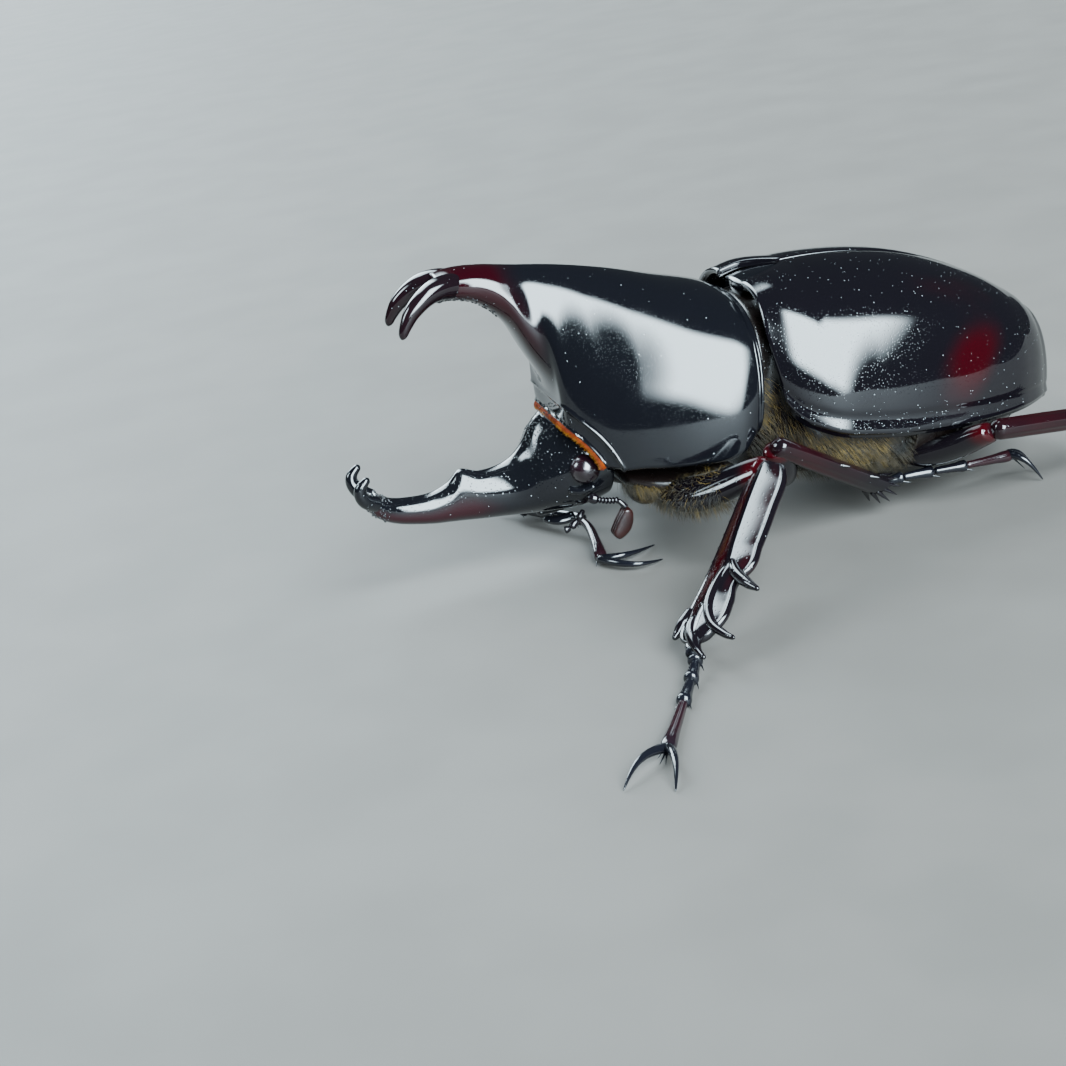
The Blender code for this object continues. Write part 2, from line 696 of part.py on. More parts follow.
def femur_skin(leg, shape, grow):
    """The thigh's closed skin, bent over its middle point, with its ends left untrimmed."""
    coxa, knee, _, shin, _ = leg_frame(leg)
    broad, thick = shape["femur"]
    numbered = [(0, *coxa), (1, *leg["bow"]), (2, *knee)]
    girth = [(0, 0.45), (0.35, 0.62), (0.9, 1.0), (1.5, 0.95), (2.0, 0.72)]
    steps = np.linspace(0.05, 2.0, 9)
    line = [Vector(smooth(numbered, s)) for s in steps]
    line.append(knee + (line[-1] - line[-2]).normalized() * 0.8)
    sizes = [float(smooth(girth, s)[0]) for s in steps] + [0.4]
    breadths = [broad * g + grow for g in sizes]
    thicknesses = [thick * g + grow for g in sizes]
    return limb(line, breadths, thicknesses, shin)


def femur(name, leg, shape):
    coxa, knee, _, shin, _ = leg_frame(leg)
    bow = Vector(leg["bow"])
    start = (bow - coxa).normalized()
    bend = ((knee - bow).normalized() + shin).normalized()
    bm = keep_side(femur_skin(leg, shape, 0.0), coxa + start * (COXA_END + GAP / 2), -start)
    keep_side(bm, knee - bend * GAP / 2, bend)
    add_object(f"femur_{name}", bm, "leg", FLOOR)
    hip = ball(f"coxa_{name}", coxa, COXA_RADIUS, "leg", FLOOR, 10)
    trim_object(hip, coxa + start * (COXA_END - GAP / 2), start)


def trim_object(obj, point, normal):
    """Cuts a finished node with a plane in its own frame and closes the cut."""
    bm = bmesh.new()
    bm.from_mesh(obj.data)
    keep_side(bm, point * MM, normal)
    bmesh.ops.triangulate(bm, faces=bm.faces)
    bm.to_mesh(obj.data)
    bm.free()


def tibia(name, leg, shape):
    """The shin, broader to its end, with its teeth or spines and its spurs fused on."""
    _, knee, ankle, shin, outer = leg_frame(leg)
    start, end, thick = shape["tibia"]
    length = (ankle - knee).length
    shares = (-0.05, 0.01, 0.08, 0.25, 0.5, 0.75, 0.92, 1.0)
    breadths = [start + (end - start) * max(s, 0) ** shape["growth"] for s in shares]
    thicknesses = [thick * (0.95 if s < 0.95 else 0.8) for s in shares]
    breadths[0], thicknesses[0] = start * 0.5, thick * 0.5
    stand = [shape["shift"] * min(max(s, 0) * 10, 1) for s in shares]
    line = [knee + shin * length * s + outer * out for s, out in zip(shares, stand)]
    bend = ((knee - Vector(leg["bow"])).normalized() + shin).normalized()
    bm = keep_side(limb(line, breadths, thicknesses, outer), knee + bend * GAP / 2, -bend)
    obj = add_object(f"tibia_{name}", bm, "leg", FLOOR)
    thorns = front_thorns(leg) if name.startswith("front") else rear_thorns(leg, end)
    pieces = [add_object(f"thorn{i}", t, "leg", FLOOR) for i, t in enumerate(thorns)]
    combine(obj, pieces, "UNION")
    room = limb(*foot_line(leg, shape, GAP), Vector((0, 0, 1)), TOE_SIDES)
    combine(obj, [add_object("room", room, "leg", FLOOR)], "DIFFERENCE")
    trim_object(obj, Vector((0, 0, 0.25)), Vector((0, 0, -1)))


def front_thorns(leg):
    """Three broad teeth over the outer edge of a digging shin, and one spur within."""
    _, knee, ankle, shin, outer = leg_frame(leg)
    length = (ankle - knee).length

    def place(share, across):
        return knee + shin * length * share + outer * across

    bow = shin * TOOTH_BOW
    thorns = [
        spike(place(*root), place(*tip), TOOTH_RADIUS, bow, blunt=TOOTH_BLUNTNESS)
        for root, tip in FRONT_TEETH
    ]
    root, tip = FRONT_SPUR
    thorns.append(spike(place(*root), place(*tip), SPUR_RADIUS))
    return thorns


def rear_thorns(leg, end):
    """Spines along the outer edge, a crown of them round the end, and a pair of spurs."""
    _, knee, ankle, shin, outer = leg_frame(leg)
    length = (ankle - knee).length
    flat = outer.cross(shin)
    thorns = []
    for share, reach in SHIN_SPINES:
        root = knee + shin * length * share + outer * end * 0.4
        thorns.append(spike(root, root + (outer + shin * 1.2).normalized() * (reach + end * 0.5), 0.4))
    for over, aside in ((0.85, 0.0), (0.35, 0.62), (0.35, -0.62)):
        lean = outer * over + flat * aside
        root = ankle - shin * 0.8 + lean * end * 0.72
        thorns.append(spike(root, root + (shin + lean * 0.7).normalized() * 2.0, 0.36))
    for turn in (-1, 1):
        root = ankle - shin * 0.6 - outer * end * 0.78 + flat * 0.4 * turn
        aim = (shin - outer * 0.45 + flat * 0.3 * turn).normalized()
        thorns.append(spike(root, root + aim * SPUR_LENGTH, 0.33))
    return thorns


def foot_line(leg, shape, grow):
    """Centres and radii of a foot: five joints, each swollen at its end."""
    _, _, ankle, _, outer = leg_frame(leg)
    track = [ankle - outer * leg.get("inset", 0.0), *(Vector(p) for p in leg["foot"])]
    numbered = [(i, *p) for i, p in enumerate(track)]
    claw_joint = 2.0
    places, sizes = [], []
    step = claw_joint / TOE_JOINTS
    for joint in range(TOE_JOINTS):
        for share, swell in ((0.1, 0.62), (0.55, 0.85), (0.9, 1.15)):
            places.append(step * (joint + share))
            sizes.append(shape["foot"] * swell + grow)
    for share, swell in ((0.05, 0.6), (0.3, 0.85), (0.7, 1.05), (0.95, 1.1)):
        places.append(claw_joint + share)
        sizes.append(shape["foot"] * swell + grow)
    line = [Vector(smooth(numbered, s)) for s in places]
    lead = (line[1] - line[0]).normalized()
    line[0] = track[0] + lead * (GAP - grow)
    return line, sizes, sizes


def foot(name, leg, shape):
    """The foot's string of joints with its pair of hooked claws fused on, standing flat."""
    line, breadths, thicknesses = foot_line(leg, shape, 0.0)
    bm = limb(line, breadths, thicknesses, Vector((0, 0, 1)), TOE_SIDES)
    obj = add_object(f"tarsus_{name}", bm, "leg", FLOOR)
    aim = Vector(leg["claw_aim"]).normalized()
    across = aim.cross(Vector((0, 0, 1))).normalized()
    claws = []
    for turn in (-1, 1):
        tip = line[-1] + (aim + across * 0.36 * turn).normalized() * shape["claw"]
        tip.z = 0.0
        hook = Vector(leg.get("claw_bow", (0, 0, 0.75))) + across * 0.35 * turn
        claws.append(spike(line[-1] - aim * 0.4, tip, 0.42, hook, 6, 4, 0.4))
    pieces = [add_object(f"claw{i}", c, "leg", FLOOR) for i, c in enumerate(claws)]
    combine(obj, pieces, "UNION")
    trim_object(obj, Vector((0, 0, 0)), Vector((0, 0, -1)))


def mouth_parts(name, side):
    broad = Vector((0, 1, 0))
    jaw = [mirrored(p, side) for p in MANDIBLE]
    bm = limb(jaw, MANDIBLE_BREADTH, MANDIBLE_THICKNESS, broad, SMALL_SIDES)
    add_object(f"mandible_{name}", bm, "shell", BODY)
    palp = [mirrored(p, side) for p in PALP]
    add_object(f"palp_{name}", limb(palp, PALP_WIDTH, PALP_WIDTH, broad, SMALL_SIDES), "leg", BODY)


def antenna(name, side):
    """A beaded stem, and the club of three leaves that hangs from it."""
    root, bend, top = (mirrored(p, side) for p in (FEELER_ROOT, FEELER_BEND, CLUB_TOP))
    up = Vector((0, 0, 1))
    shares = np.linspace(0, 1, len(FEELER_WIDTH))
    stem = [root.lerp(bend, t) - up * FEELER_SAG * math.sin(math.pi * t) for t in shares]
    add_object(f"antenna_{name}", limb(stem, FEELER_WIDTH, FEELER_WIDTH, up, SMALL_SIDES), "leg", BODY)
    leaves = []
    for leaf in range(CLUB_LEAVES):
        shift = Vector((0, CLUB_LEAF_GAP * (leaf - (CLUB_LEAVES - 1) / 2), 0))
        line = [top + shift + CLUB_WAY * t for t in CLUB_STEPS]
        bm = limb(line, CLUB_BREADTH, CLUB_THICKNESS, Vector((1, 0, 0)), SMALL_SIDES)
        leaves.append(add_object(f"leaf{leaf}", bm, "club", BODY))
    leaves[0].name = f"club_{name}"
    combine(leaves[0], leaves[1:], "UNION")


def centre_on_floor():
    """Moves the whole beetle so that the middle of its box stands over the origin."""
    bpy.context.view_layer.update()
    corners = [
        obj.matrix_world @ Vector(corner)
        for obj in BEETLE.objects
        for corner in obj.bound_box
        if obj.type == "MESH"
    ]
    for axis in (0, 1):
        low = min(corner[axis] for corner in corners)
        high = max(corner[axis] for corner in corners)
        FLOOR.location[axis] -= (low + high) / 2
    print("shift in mm", [round(v / MM, 3) for v in FLOOR.location])


clear_scene()
BEETLE = bpy.data.collections.new("rhinoceros_beetle")
bpy.context.scene.collection.children.link(BEETLE)
FLOOR = make_empty("floor_frame")
BODY = make_empty("body_axis", FLOOR)
BODY.rotation_euler = (0, BODY_PITCH, 0)
BODY.location = (0, 0, BODY_LIFT * MM)
bpy.context.view_layer.update()

horned_shield()
head_and_horn()
collar()
scutellum()
trunk()
breastplate()
for side_name, side_sign in SIDES:
    wing_case(f"elytron_{side_name}", side_sign)
    mouth_parts(side_name, side_sign)
    antenna(side_name, side_sign)
for leg_name, leg_data in LEGS.items():
    leg_shape = LEG_SHAPES[leg_name.split("_")[0]]
    femur(leg_name, leg_data, leg_shape)
    tibia(leg_name, leg_data, leg_shape)
    foot(leg_name, leg_data, leg_shape)
centre_on_floor()
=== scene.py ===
# %% [markdown]
# A male horned beetle, life size, as a still model stands in a museum case.
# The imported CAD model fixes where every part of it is. This script dresses that model:
# each hard plate is modelled again as a smooth, closed skin with its rims, ridges and
# pits, and each one gets a finish of its own, because a beetle is all gloss and edge,
# and facets that a sturdy CAD part may keep would show in every reflection.

# %% The tools and the frame
import functools
import math
import random

import bmesh
import bpy
import numpy as np
from mathutils import Matrix, Vector


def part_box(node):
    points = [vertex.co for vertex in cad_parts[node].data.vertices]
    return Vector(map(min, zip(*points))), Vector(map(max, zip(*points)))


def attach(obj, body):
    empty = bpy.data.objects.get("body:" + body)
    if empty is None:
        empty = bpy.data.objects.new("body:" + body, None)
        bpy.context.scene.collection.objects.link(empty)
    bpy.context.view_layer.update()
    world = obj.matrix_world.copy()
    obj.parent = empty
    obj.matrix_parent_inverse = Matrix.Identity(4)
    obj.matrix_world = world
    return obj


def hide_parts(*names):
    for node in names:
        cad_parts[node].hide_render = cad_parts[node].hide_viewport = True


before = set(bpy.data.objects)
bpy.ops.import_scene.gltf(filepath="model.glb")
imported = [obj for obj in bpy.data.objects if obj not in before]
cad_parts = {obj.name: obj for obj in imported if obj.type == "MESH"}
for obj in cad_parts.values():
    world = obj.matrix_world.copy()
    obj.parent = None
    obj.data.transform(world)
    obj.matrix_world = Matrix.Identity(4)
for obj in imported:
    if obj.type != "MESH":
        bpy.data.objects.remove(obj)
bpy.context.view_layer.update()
print("CAD nodes:", len(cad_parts))

# %% [markdown]
# Two frames are used. The body is drawn straight along its own axis, which is pitched
# nose up over the floor, while the legs are drawn over the floor itself. Both are in
# millimetres, and a matrix lays each finished piece in its place in metres. The eyes of
# the CAD model say where the body's axis runs, so nothing has to be fitted by eye.

# %% The body's frame and the floor's frame
MM = 0.001
BODY_PITCH = math.radians(8.0)
EYE_CENTRE = Vector((-17.5, 5.05, 6.5))
EYE_RADIUS = 1.4
SIDES = (("left", -1), ("right", 1))
UP = Vector((0, 0, 1))


def on_side(place, side):
    """A place given for the right side, on this side of the body."""
    x, y, z = place
    return Vector((x, y * side, z))


def node_middle(node):
    low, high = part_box(node)
    return (low + high) / 2 / MM


BODY_TURN = Matrix.Rotation(BODY_PITCH, 4, "Y")
between_eyes = (node_middle("eye_left") + node_middle("eye_right")) / 2
BODY_ORIGIN = between_eyes - BODY_TURN @ Vector((EYE_CENTRE.x, 0.0, EYE_CENTRE.z))
FLOOR_ORIGIN = Vector((BODY_ORIGIN.x, BODY_ORIGIN.y, 0.0))
BODY = Matrix.Translation(BODY_ORIGIN * MM) @ BODY_TURN @ Matrix.Scale(MM, 4)
FLOOR = Matrix.Translation(FLOOR_ORIGIN * MM) @ Matrix.Scale(MM, 4)
print("body axis starts at", [round(v, 2) for v in BODY_ORIGIN], "mm")

# %% [markdown]
# Every plate, limb and thorn of a beetle is a smooth tube of changing section, so a few
# named sections or points are enough to describe it. A track reads such a table at any
# place along it, with a curve that passes through each row and has no kinks.


# %% Smooth tracks
class Track:
    """A smooth curve through rows of (place, value, value...), read at any place."""

    def __init__(self, rows):
        table = np.asarray(rows, float)
        self.places = table[:, 0]
        self.values = table[:, 1:]
        self.slopes = np.gradient(self.values, self.places, axis=0)
        self.read = functools.lru_cache(maxsize=None)(self._read)

    def _read(self, place):
        place = clamp(place, self.places[0], self.places[-1])
        i = int(np.clip(np.searchsorted(self.places, place) - 1, 0, len(self.places) - 2))
        span = self.places[i + 1] - self.places[i]
        t = (place - self.places[i]) / span
        start = (2 * t**3 - 3 * t**2 + 1) * self.values[i]
        start_slope = (t**3 - 2 * t**2 + t) * span * self.slopes[i]
        end = (3 * t**2 - 2 * t**3) * self.values[i + 1]
        end_slope = (t**3 - t**2) * span * self.slopes[i + 1]
        return tuple(float(v) for v in start + start_slope + end + end_slope)


def sections(*rows):
    """A track through rows that stand one step apart."""
    return Track([(i, *row) for i, row in enumerate(rows)])


def bell(distance, width):
    """A smooth bump that is 1 at distance 0 and fades out over a few widths."""
    return math.exp(-((distance / width) ** 2))


def ridge(value, height, middle, width):
    """How high a rounded ridge stands at this value."""
    return height * bell(value - middle, width)


def clamp(value, low=0.0, high=1.0):
    return min(max(value, low), high)


def eased(t):
    """A share that starts and ends slowly, for more points near both ends."""
    return (1 - math.cos(math.pi * t)) / 2


def signed_power(value, power):
    return math.copysign(abs(value) ** power, value)


# %% [markdown]
# A skin is a grid of faces rolled into a tube. Blender makes the grid, each of its
# points is then moved to its place on the surface, and the two edges that meet are
# merged. The same grid serves for a whole shield and for a single bristle. Beside its
# place, each point keeps a tint from 0 for black to 1 for the red that shows through
# thin shell, and its grit, from 0 where the shell is clean to 1 where it is full of
# pale grains.

# %% Skins, limbs and thorns
SEAM = 1e-3
SPIKE_STEPS = 16
SPIKE_TAPER = 1.3
STEEP = 0.8


def new_mesh():
    bm = bmesh.new()
    bm.verts.layers.float.new("tint")
    bm.verts.layers.float.new("grit")
    return bm


def grow_skin(bm, along, around, point, tint=None, grit=None):
    """Adds a tube of along by around faces, its points placed by point(step, angle)."""
    tint_layer = bm.verts.layers.float["tint"]
    grit_layer = bm.verts.layers.float["grit"]
    grid = bmesh.ops.create_grid(bm, x_segments=along, y_segments=around, size=0.5)["verts"]
    for vert in grid:
        step = round((vert.co.x + 0.5) * along)
        angle = round((vert.co.y + 0.5) * around) * 2 * math.pi / around
        vert.co = point(step, angle)
        vert[tint_layer] = tint(step / along, angle) if tint else 0.0
        vert[grit_layer] = grit(step / along, angle) if grit else 0.0
    bmesh.ops.remove_doubles(bm, verts=grid, dist=SEAM)


class Limb:
    """A bent tube: rows of (share, x, y, z, breadth, thickness), and its broad way."""

    def __init__(self, rows, broad):
        self.track = Track(rows)
        self.broad = Vector(broad)
        self.axes = functools.lru_cache(maxsize=None)(self._axes)

    def centre(self, share):
        return Vector(self.track.read(share)[:3])

    def _axes(self, share):
        ahead = self.centre(min(share + 0.01, 1.0)) - self.centre(max(share - 0.01, 0.0))
        along = ahead.normalized()
        wide = (self.broad - self.broad.dot(along) * along).normalized()
        return along, wide, along.cross(wide)

    def point(self, share, angle, scale=1.0):
        breadth, thickness = self.track.read(share)[3:5]
        along, wide, thin = self.axes(share)
        reach = wide * breadth * math.cos(angle) + thin * thickness * math.sin(angle)
        return self.centre(share) + reach * scale


def end_scale(share, start, end):
    """The scale that rounds off a limb within the start and end shares of its length."""
    near = min(share / start, 1.0) if start else 1.0
    far = min((1.0 - share) / end, 1.0) if end else 1.0
    return math.sqrt(max(1 - (1 - near) ** 2, 0.0)) * math.sqrt(max(1 - (1 - far) ** 2, 0.0))


def grow_limb(bm, limb, along, around, ends=(0.05, 0.05), relief=None, tint=None, grit=None):
    """Adds a limb with rounded ends; relief(share, angle) swells or pinches its skin."""

    def point(step, angle):
        share = eased(step / along)
        scale = end_scale(share, *ends)
        if relief:
            scale *= relief(share, angle)
        return limb.point(share, angle, scale)

    grow_skin(bm, along, around, point, tint, grit)


def even(value):
    """A tint or a grit that is the same all over."""
    return lambda share, angle: value


def grow_spike(bm, root, tip, radius, sag=(0, 0, 0), blunt=0.12, tint=0.0, around=12):
    """Adds a curved, tapering thorn from inside its root to its tip."""
    root, tip, sag = Vector(root), Vector(tip), Vector(sag)
    rows = []
    for t in (0.0, 0.2, 0.4, 0.6, 0.8, 1.0):
        place = root.lerp(tip, t) + sag * math.sin(math.pi * t)
        size = radius * (1 - (1 - blunt) * t**SPIKE_TAPER)
        rows.append((t, *place, size, size))
    steep = abs((tip - root).normalized().z) >= STEEP
    broad = (1.0, 0.2, 0.0) if steep else (0.3, 0.2, 1.0)
    grow_limb(bm, Limb(rows, broad), SPIKE_STEPS, around, (0.02, 0.04), tint=even(tint))


# %% [markdown]
# Warts and hairs are many and alike. One is made, and the whole mesh is then doubled
# until there are enough, which is far quicker than making each one. The copies keep
# their order, so the points come out again in equal blocks, one block for each.


# %% Many like things
def copies(count, make):
    """A mesh of many like things, and its points in one block for each of them."""
    one = new_mesh()
    make(one)
    size = len(one.verts)
    block = bpy.data.meshes.new("block")
    one.to_mesh(block)
    one.free()
    bm = new_mesh()
    bm.from_mesh(block)
    while len(bm.verts) < size * count:
        bm.to_mesh(block)
        bm.from_mesh(block)
    bmesh.ops.delete(bm, geom=bm.verts[size * count :], context="VERTS")
    bpy.data.meshes.remove(block)
    points = bm.verts[:]
    return bm, [points[i * size : (i + 1) * size] for i in range(count)]


def join(bm, other):
    """Adds another mesh to this one."""
    block = bpy.data.meshes.new("block")
    other.to_mesh(block)
    other.free()
    bm.from_mesh(block)
    bpy.data.meshes.remove(block)


def grow_granules(bm, draw, count, point, radii):
    """Scatters half-sunk balls over the places that point() draws."""
    balls, blocks = copies(
        count, lambda one: bmesh.ops.create_icosphere(one, subdivisions=1, radius=1.0)
    )
    for block in blocks:
        centre, radius = point(draw), draw.uniform(*radii)
        for vert in block:
            vert.co = centre + vert.co * radius
    join(bm, balls)


# %% [markdown]
# A finished mesh becomes an object at the origin, with its place in its mesh. It rides
# on the one body that a still model has, and takes the place of the CAD nodes that it
# stands for.


# %% Handing a piece over
def add_object(name, data):
    """Links a mesh or a camera into the scene, at the origin."""
    obj = bpy.data.objects.new(name, data)
    bpy.context.scene.collection.objects.link(obj)
    return obj


def mesh_object(name, bm, finish):
    """Turns a finished mesh into an object with one finish."""
    mesh = bpy.data.meshes.new(name)
    bm.to_mesh(mesh)
    bm.free()
    mesh.materials.append(finish)
    return add_object(name, mesh)


def piece(name, bm, place, finish, slot, *nodes):
    bmesh.ops.recalc_face_normals(bm, faces=bm.faces)
    bmesh.ops.transform(bm, matrix=place, verts=bm.verts)
    obj = mesh_object(name, bm, finish)
    obj.data.shade_smooth()
    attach(obj, "root")
    if nodes:
        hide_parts(*nodes)
    print(name, len(obj.data.polygons), "faces")


# %% [markdown]
# Shader maths reads best as plain sums. A wire wraps one socket, and adding or
# multiplying wires adds the Math nodes. Every other node comes from one method.


# %% Wires and finishes
def operator_for(operation, turned=False):
    """A Python operator that adds one Math node."""

    def apply(wire, other):
        first, second = (other, wire) if turned else (wire, other)
        return wire.graph.node("ShaderNodeMath", {"operation": operation}, {0: first, 1: second})

    return apply


class Wire:
    """A shader socket that takes part in sums like a number."""

    def __init__(self, graph, socket):
        self.graph = graph
        self.socket = socket

    __add__ = operator_for("ADD")
    __radd__ = operator_for("ADD", turned=True)
    __sub__ = operator_for("SUBTRACT")
    __rsub__ = operator_for("SUBTRACT", turned=True)
    __mul__ = operator_for("MULTIPLY")
    __rmul__ = operator_for("MULTIPLY", turned=True)
    __gt__ = operator_for("GREATER_THAN")
    __lt__ = operator_for("LESS_THAN")

    def __abs__(self):
        return self.graph.node("ShaderNodeMath", {"operation": "ABSOLUTE"}, {0: self})


class Graph:
    """A tree of nodes that sums and named values are turned into."""

    def __init__(self, tree):
        self.tree = tree

    def node(self, kind, settings=None, inputs=None, output=0):
        made = self.tree.nodes.new(kind)
        for key, value in (settings or {}).items():
            setattr(made, key, value)
        for key, value in (inputs or {}).items():
            self.feed(made.inputs[key], value)
        return Wire(self, made.outputs[output])

    def feed(self, socket, value):
        if isinstance(value, Wire):
            self.tree.links.new(value.socket, socket)
        elif isinstance(value, tuple) and len(value) == 3 and socket.type == "RGBA":
            socket.default_value = (*value, 1.0)
        else:
            socket.default_value = value

    def step(self, value, low, high):
        """0 below low, 1 above high, and smooth between them."""
        inputs = {"Value": value, "From Min": low, "From Max": high}
        return self.node("ShaderNodeMapRange", {"interpolation_type": "SMOOTHSTEP"}, inputs)


class Finish(Graph):
    """One material, built up from named values and wires."""

    def __init__(self, name, constants=None):
        self.material = bpy.data.materials.new(name)
        self.material.use_nodes = True
        super().__init__(self.material.node_tree)
        self.shader = self.tree.nodes["Principled BSDF"]
        for socket, value in (constants or {}).items():
            self.shader.inputs[socket].default_value = value

    def paint(self, colour, roughness, normal=None):
        self.feed(self.shader.inputs["Base Color"], colour)
        self.feed(self.shader.inputs["Roughness"], roughness)
        if normal:
            self.feed(self.shader.inputs["Normal"], normal)

    def place(self):
        return self.node("ShaderNodeTexCoord", output="Object")

    def noise(self, scale, detail=3.0):
        inputs = {"Vector": self.place(), "Scale": scale, "Detail": detail}
        return self.node("ShaderNodeTexNoise", None, inputs)

    def cells(self, scale, output="Distance"):
        inputs = {"Vector": self.place(), "Scale": scale}
        return self.node("ShaderNodeTexVoronoi", None, inputs, output)

    def layer(self, name):
        return self.node("ShaderNodeAttribute", {"attribute_name": name}, None, "Fac")

    def mix(self, share, first, second):
        return self.node("ShaderNodeMix", {"data_type": "RGBA"}, {0: share, 6: first, 7: second}, 2)

    def bump(self, height, distance):
        return self.node("ShaderNodeBump", None, {"Height": height, "Distance": distance})


# %% [markdown]
# Beetle shell is nearly black, but thin edges and horns let a deep red through. Under
# the gloss lie pits finer than a hair is wide, and dust sits on it in single white
# grains. Noise mixes the two colours, small cells make the pits as bump, and a few
# cells, picked at random by their colour, become the grains.

# %% The finish of the shell
GRAIN_COLOUR = (0.28, 0.30, 0.31)
SHELL = {"IOR": 1.55}
CLOUD_SCALE = 140.0
PATCHINESS = 0.5
SMEAR_SCALE = 420.0
GRAIN_ROUGHNESS = 0.4
PIT_WALL = (0.05, 0.3)
FINE_SCALE = 9000.0
FINE_HEIGHT = 0.15
GRAIN_HEIGHT = 2.0
SMALLEST_GRAIN = 0.35
GRIT_DENSITY = 0.75


def dust(finish, spacing, share, radius):
    """A mask of single grains, one in some of the cells of a random pattern."""
    scale = 1 / (spacing * MM)
    distance = finish.cells(scale)
    chance, size = (
        finish.node("ShaderNodeSeparateColor", None, {"Color": finish.cells(scale, "Color")}, i)
        for i in (0, 1)
    )
    picked = chance < (share + finish.layer("grit") * GRIT_DENSITY)
    return picked * (distance < (SMALLEST_GRAIN + size) * (radius / spacing))


def shell_finish(name, black, red, gloss, pits, dirt):
    """Glossy shell: two colours, a roughness range, (pit spacing, depth) in mm, and dust."""
    finish = Finish(name, SHELL)
    cloud = finish.noise(CLOUD_SCALE)
    redness = finish.step(finish.layer("tint") + (cloud - 0.5) * PATCHINESS, 0.15, 0.95)
    shell_colour = finish.mix(redness, black, red)
    grains = dust(finish, *dirt)
    colour = finish.mix(grains, shell_colour, GRAIN_COLOUR)
    smear = finish.step(finish.noise(SMEAR_SCALE, 4.0), 0.35, 0.75)
    roughness = gloss[0] + (gloss[1] - gloss[0]) * smear + grains * GRAIN_ROUGHNESS
    spacing, depth = pits
    pit = finish.step(finish.cells(1 / (spacing * MM)), *PIT_WALL)
    height = pit + finish.noise(FINE_SCALE, 2.0) * FINE_HEIGHT + grains * GRAIN_HEIGHT
    finish.paint(colour, roughness, finish.bump(height, depth * MM))
    return finish.material


WING_FINISH = shell_finish(
    "wing_case_lacquer",
    black=(0.0025, 0.002, 0.003),
    red=(0.015, 0.0004, 0.0014),
    gloss=(0.03, 0.07),
    pits=(0.22, 0.004),
    dirt=(0.20, 0.07, 0.032),
)
SHIELD_FINISH = shell_finish(
    "shield_lacquer",
    black=(0.0025, 0.0025, 0.0035),
    red=(0.010, 0.0003, 0.0015),
    gloss=(0.05, 0.10),
    pits=(0.16, 0.002),
    dirt=(0.30, 0.05, 0.038),
)
HEAD_FINISH = shell_finish(
    "head_shell",
    black=(0.0025, 0.0025, 0.0035),
    red=(0.011, 0.0003, 0.0018),
    gloss=(0.05, 0.14),
    pits=(0.30, 0.012),
    dirt=(0.30, 0.10, 0.04),
)
LEG_FINISH = shell_finish(
    "leg_shell",
    black=(0.003, 0.002, 0.003),
    red=(0.021, 0.0005, 0.0015),
    gloss=(0.05, 0.12),
    pits=(0.35, 0.008),
    dirt=(0.40, 0.03, 0.035),
)
UNDER_FINISH = shell_finish(
    "underside_shell",
    black=(0.006, 0.0035, 0.003),
    red=(0.045, 0.008, 0.004),
    gloss=(0.22, 0.36),
    pits=(0.35, 0.02),
    dirt=(0.45, 0.08, 0.05),
)

# %% [markdown]
# The eye is a dark ball of tiny lenses, the soft skin at the joints is orange, the
# feeler's club is brown velvet, and hair runs from rust to gold. These finishes are
# plainer, but each still varies over its piece.


# %% The finishes of the small parts
def eye_finish():
    finish = Finish("eye_lens", {"Coat Weight": 1.0, "Coat Roughness": 0.03})
    blotch = finish.step(finish.noise(500.0), 0.35, 0.65)
    colour = finish.mix(blotch, (0.003, 0.0007, 0.0018), (0.009, 0.0018, 0.004))
    lens = finish.step(finish.cells(1 / (0.06 * MM)), 0.1, 0.6)
    finish.paint(colour, 0.22, finish.bump(1 - lens, 0.003 * MM))
    return finish.material


def soft_finish(name, dark, light, scale, roughness):
    """Two shades mixed by a noise of this scale, with a fine grain."""
    finish = Finish(name)
    colour = finish.mix(finish.step(finish.noise(scale), 0.3, 0.7), dark, light)
    finish.paint(colour, roughness, finish.bump(finish.noise(6000.0), 0.01 * MM))
    return finish.material


EYE_FINISH = eye_finish()
MEMBRANE_FINISH = soft_finish(
    "joint_membrane", (0.0275, 0.0044, 0.0011), (0.088, 0.01925, 0.00275), 900.0, 0.42
)
CLUB_FINISH = soft_finish("club_velvet", (0.004, 0.0006, 0.0008), (0.014, 0.0018, 0.001), 300.0, 0.30)
GOLD_HAIR = soft_finish("golden_hair", (0.045, 0.026, 0.003), (0.15, 0.092, 0.011), 900.0, 0.55)
DARK_HAIR = soft_finish("brown_gold_hair", (0.004, 0.0027, 0.0008), (0.030, 0.019, 0.004), 500.0, 0.55)
RUST_HAIR = soft_finish("rust_hair", (0.15, 0.012, 0.0007), (0.34, 0.056, 0.002), 900.0, 0.40)
YELLOW_HAIR = soft_finish("yellow_hair", (0.34, 0.10, 0.004), (0.50, 0.24, 0.015), 900.0, 0.40)
CLAW_FINISH = shell_finish(
    "claw_horn",
    black=(0.004, 0.004, 0.006),
    red=(0.05, 0.002, 0.003),
    gloss=(0.06, 0.14),
    pits=(0.5, 0.004),
    dirt=(0.6, 0.03, 0.05),
)
print("finishes:", len(bpy.data.materials))

# %% [markdown]
# The shield over the front of the body runs on into the upper horn as one plate. Its
# sections lean forward more and more until they stand across the horn, so it could
# be sculpted, but a table of leaning sections gives a surface without a single bump,
# which a mirror finish needs. A raised bead runs round its rear rim.

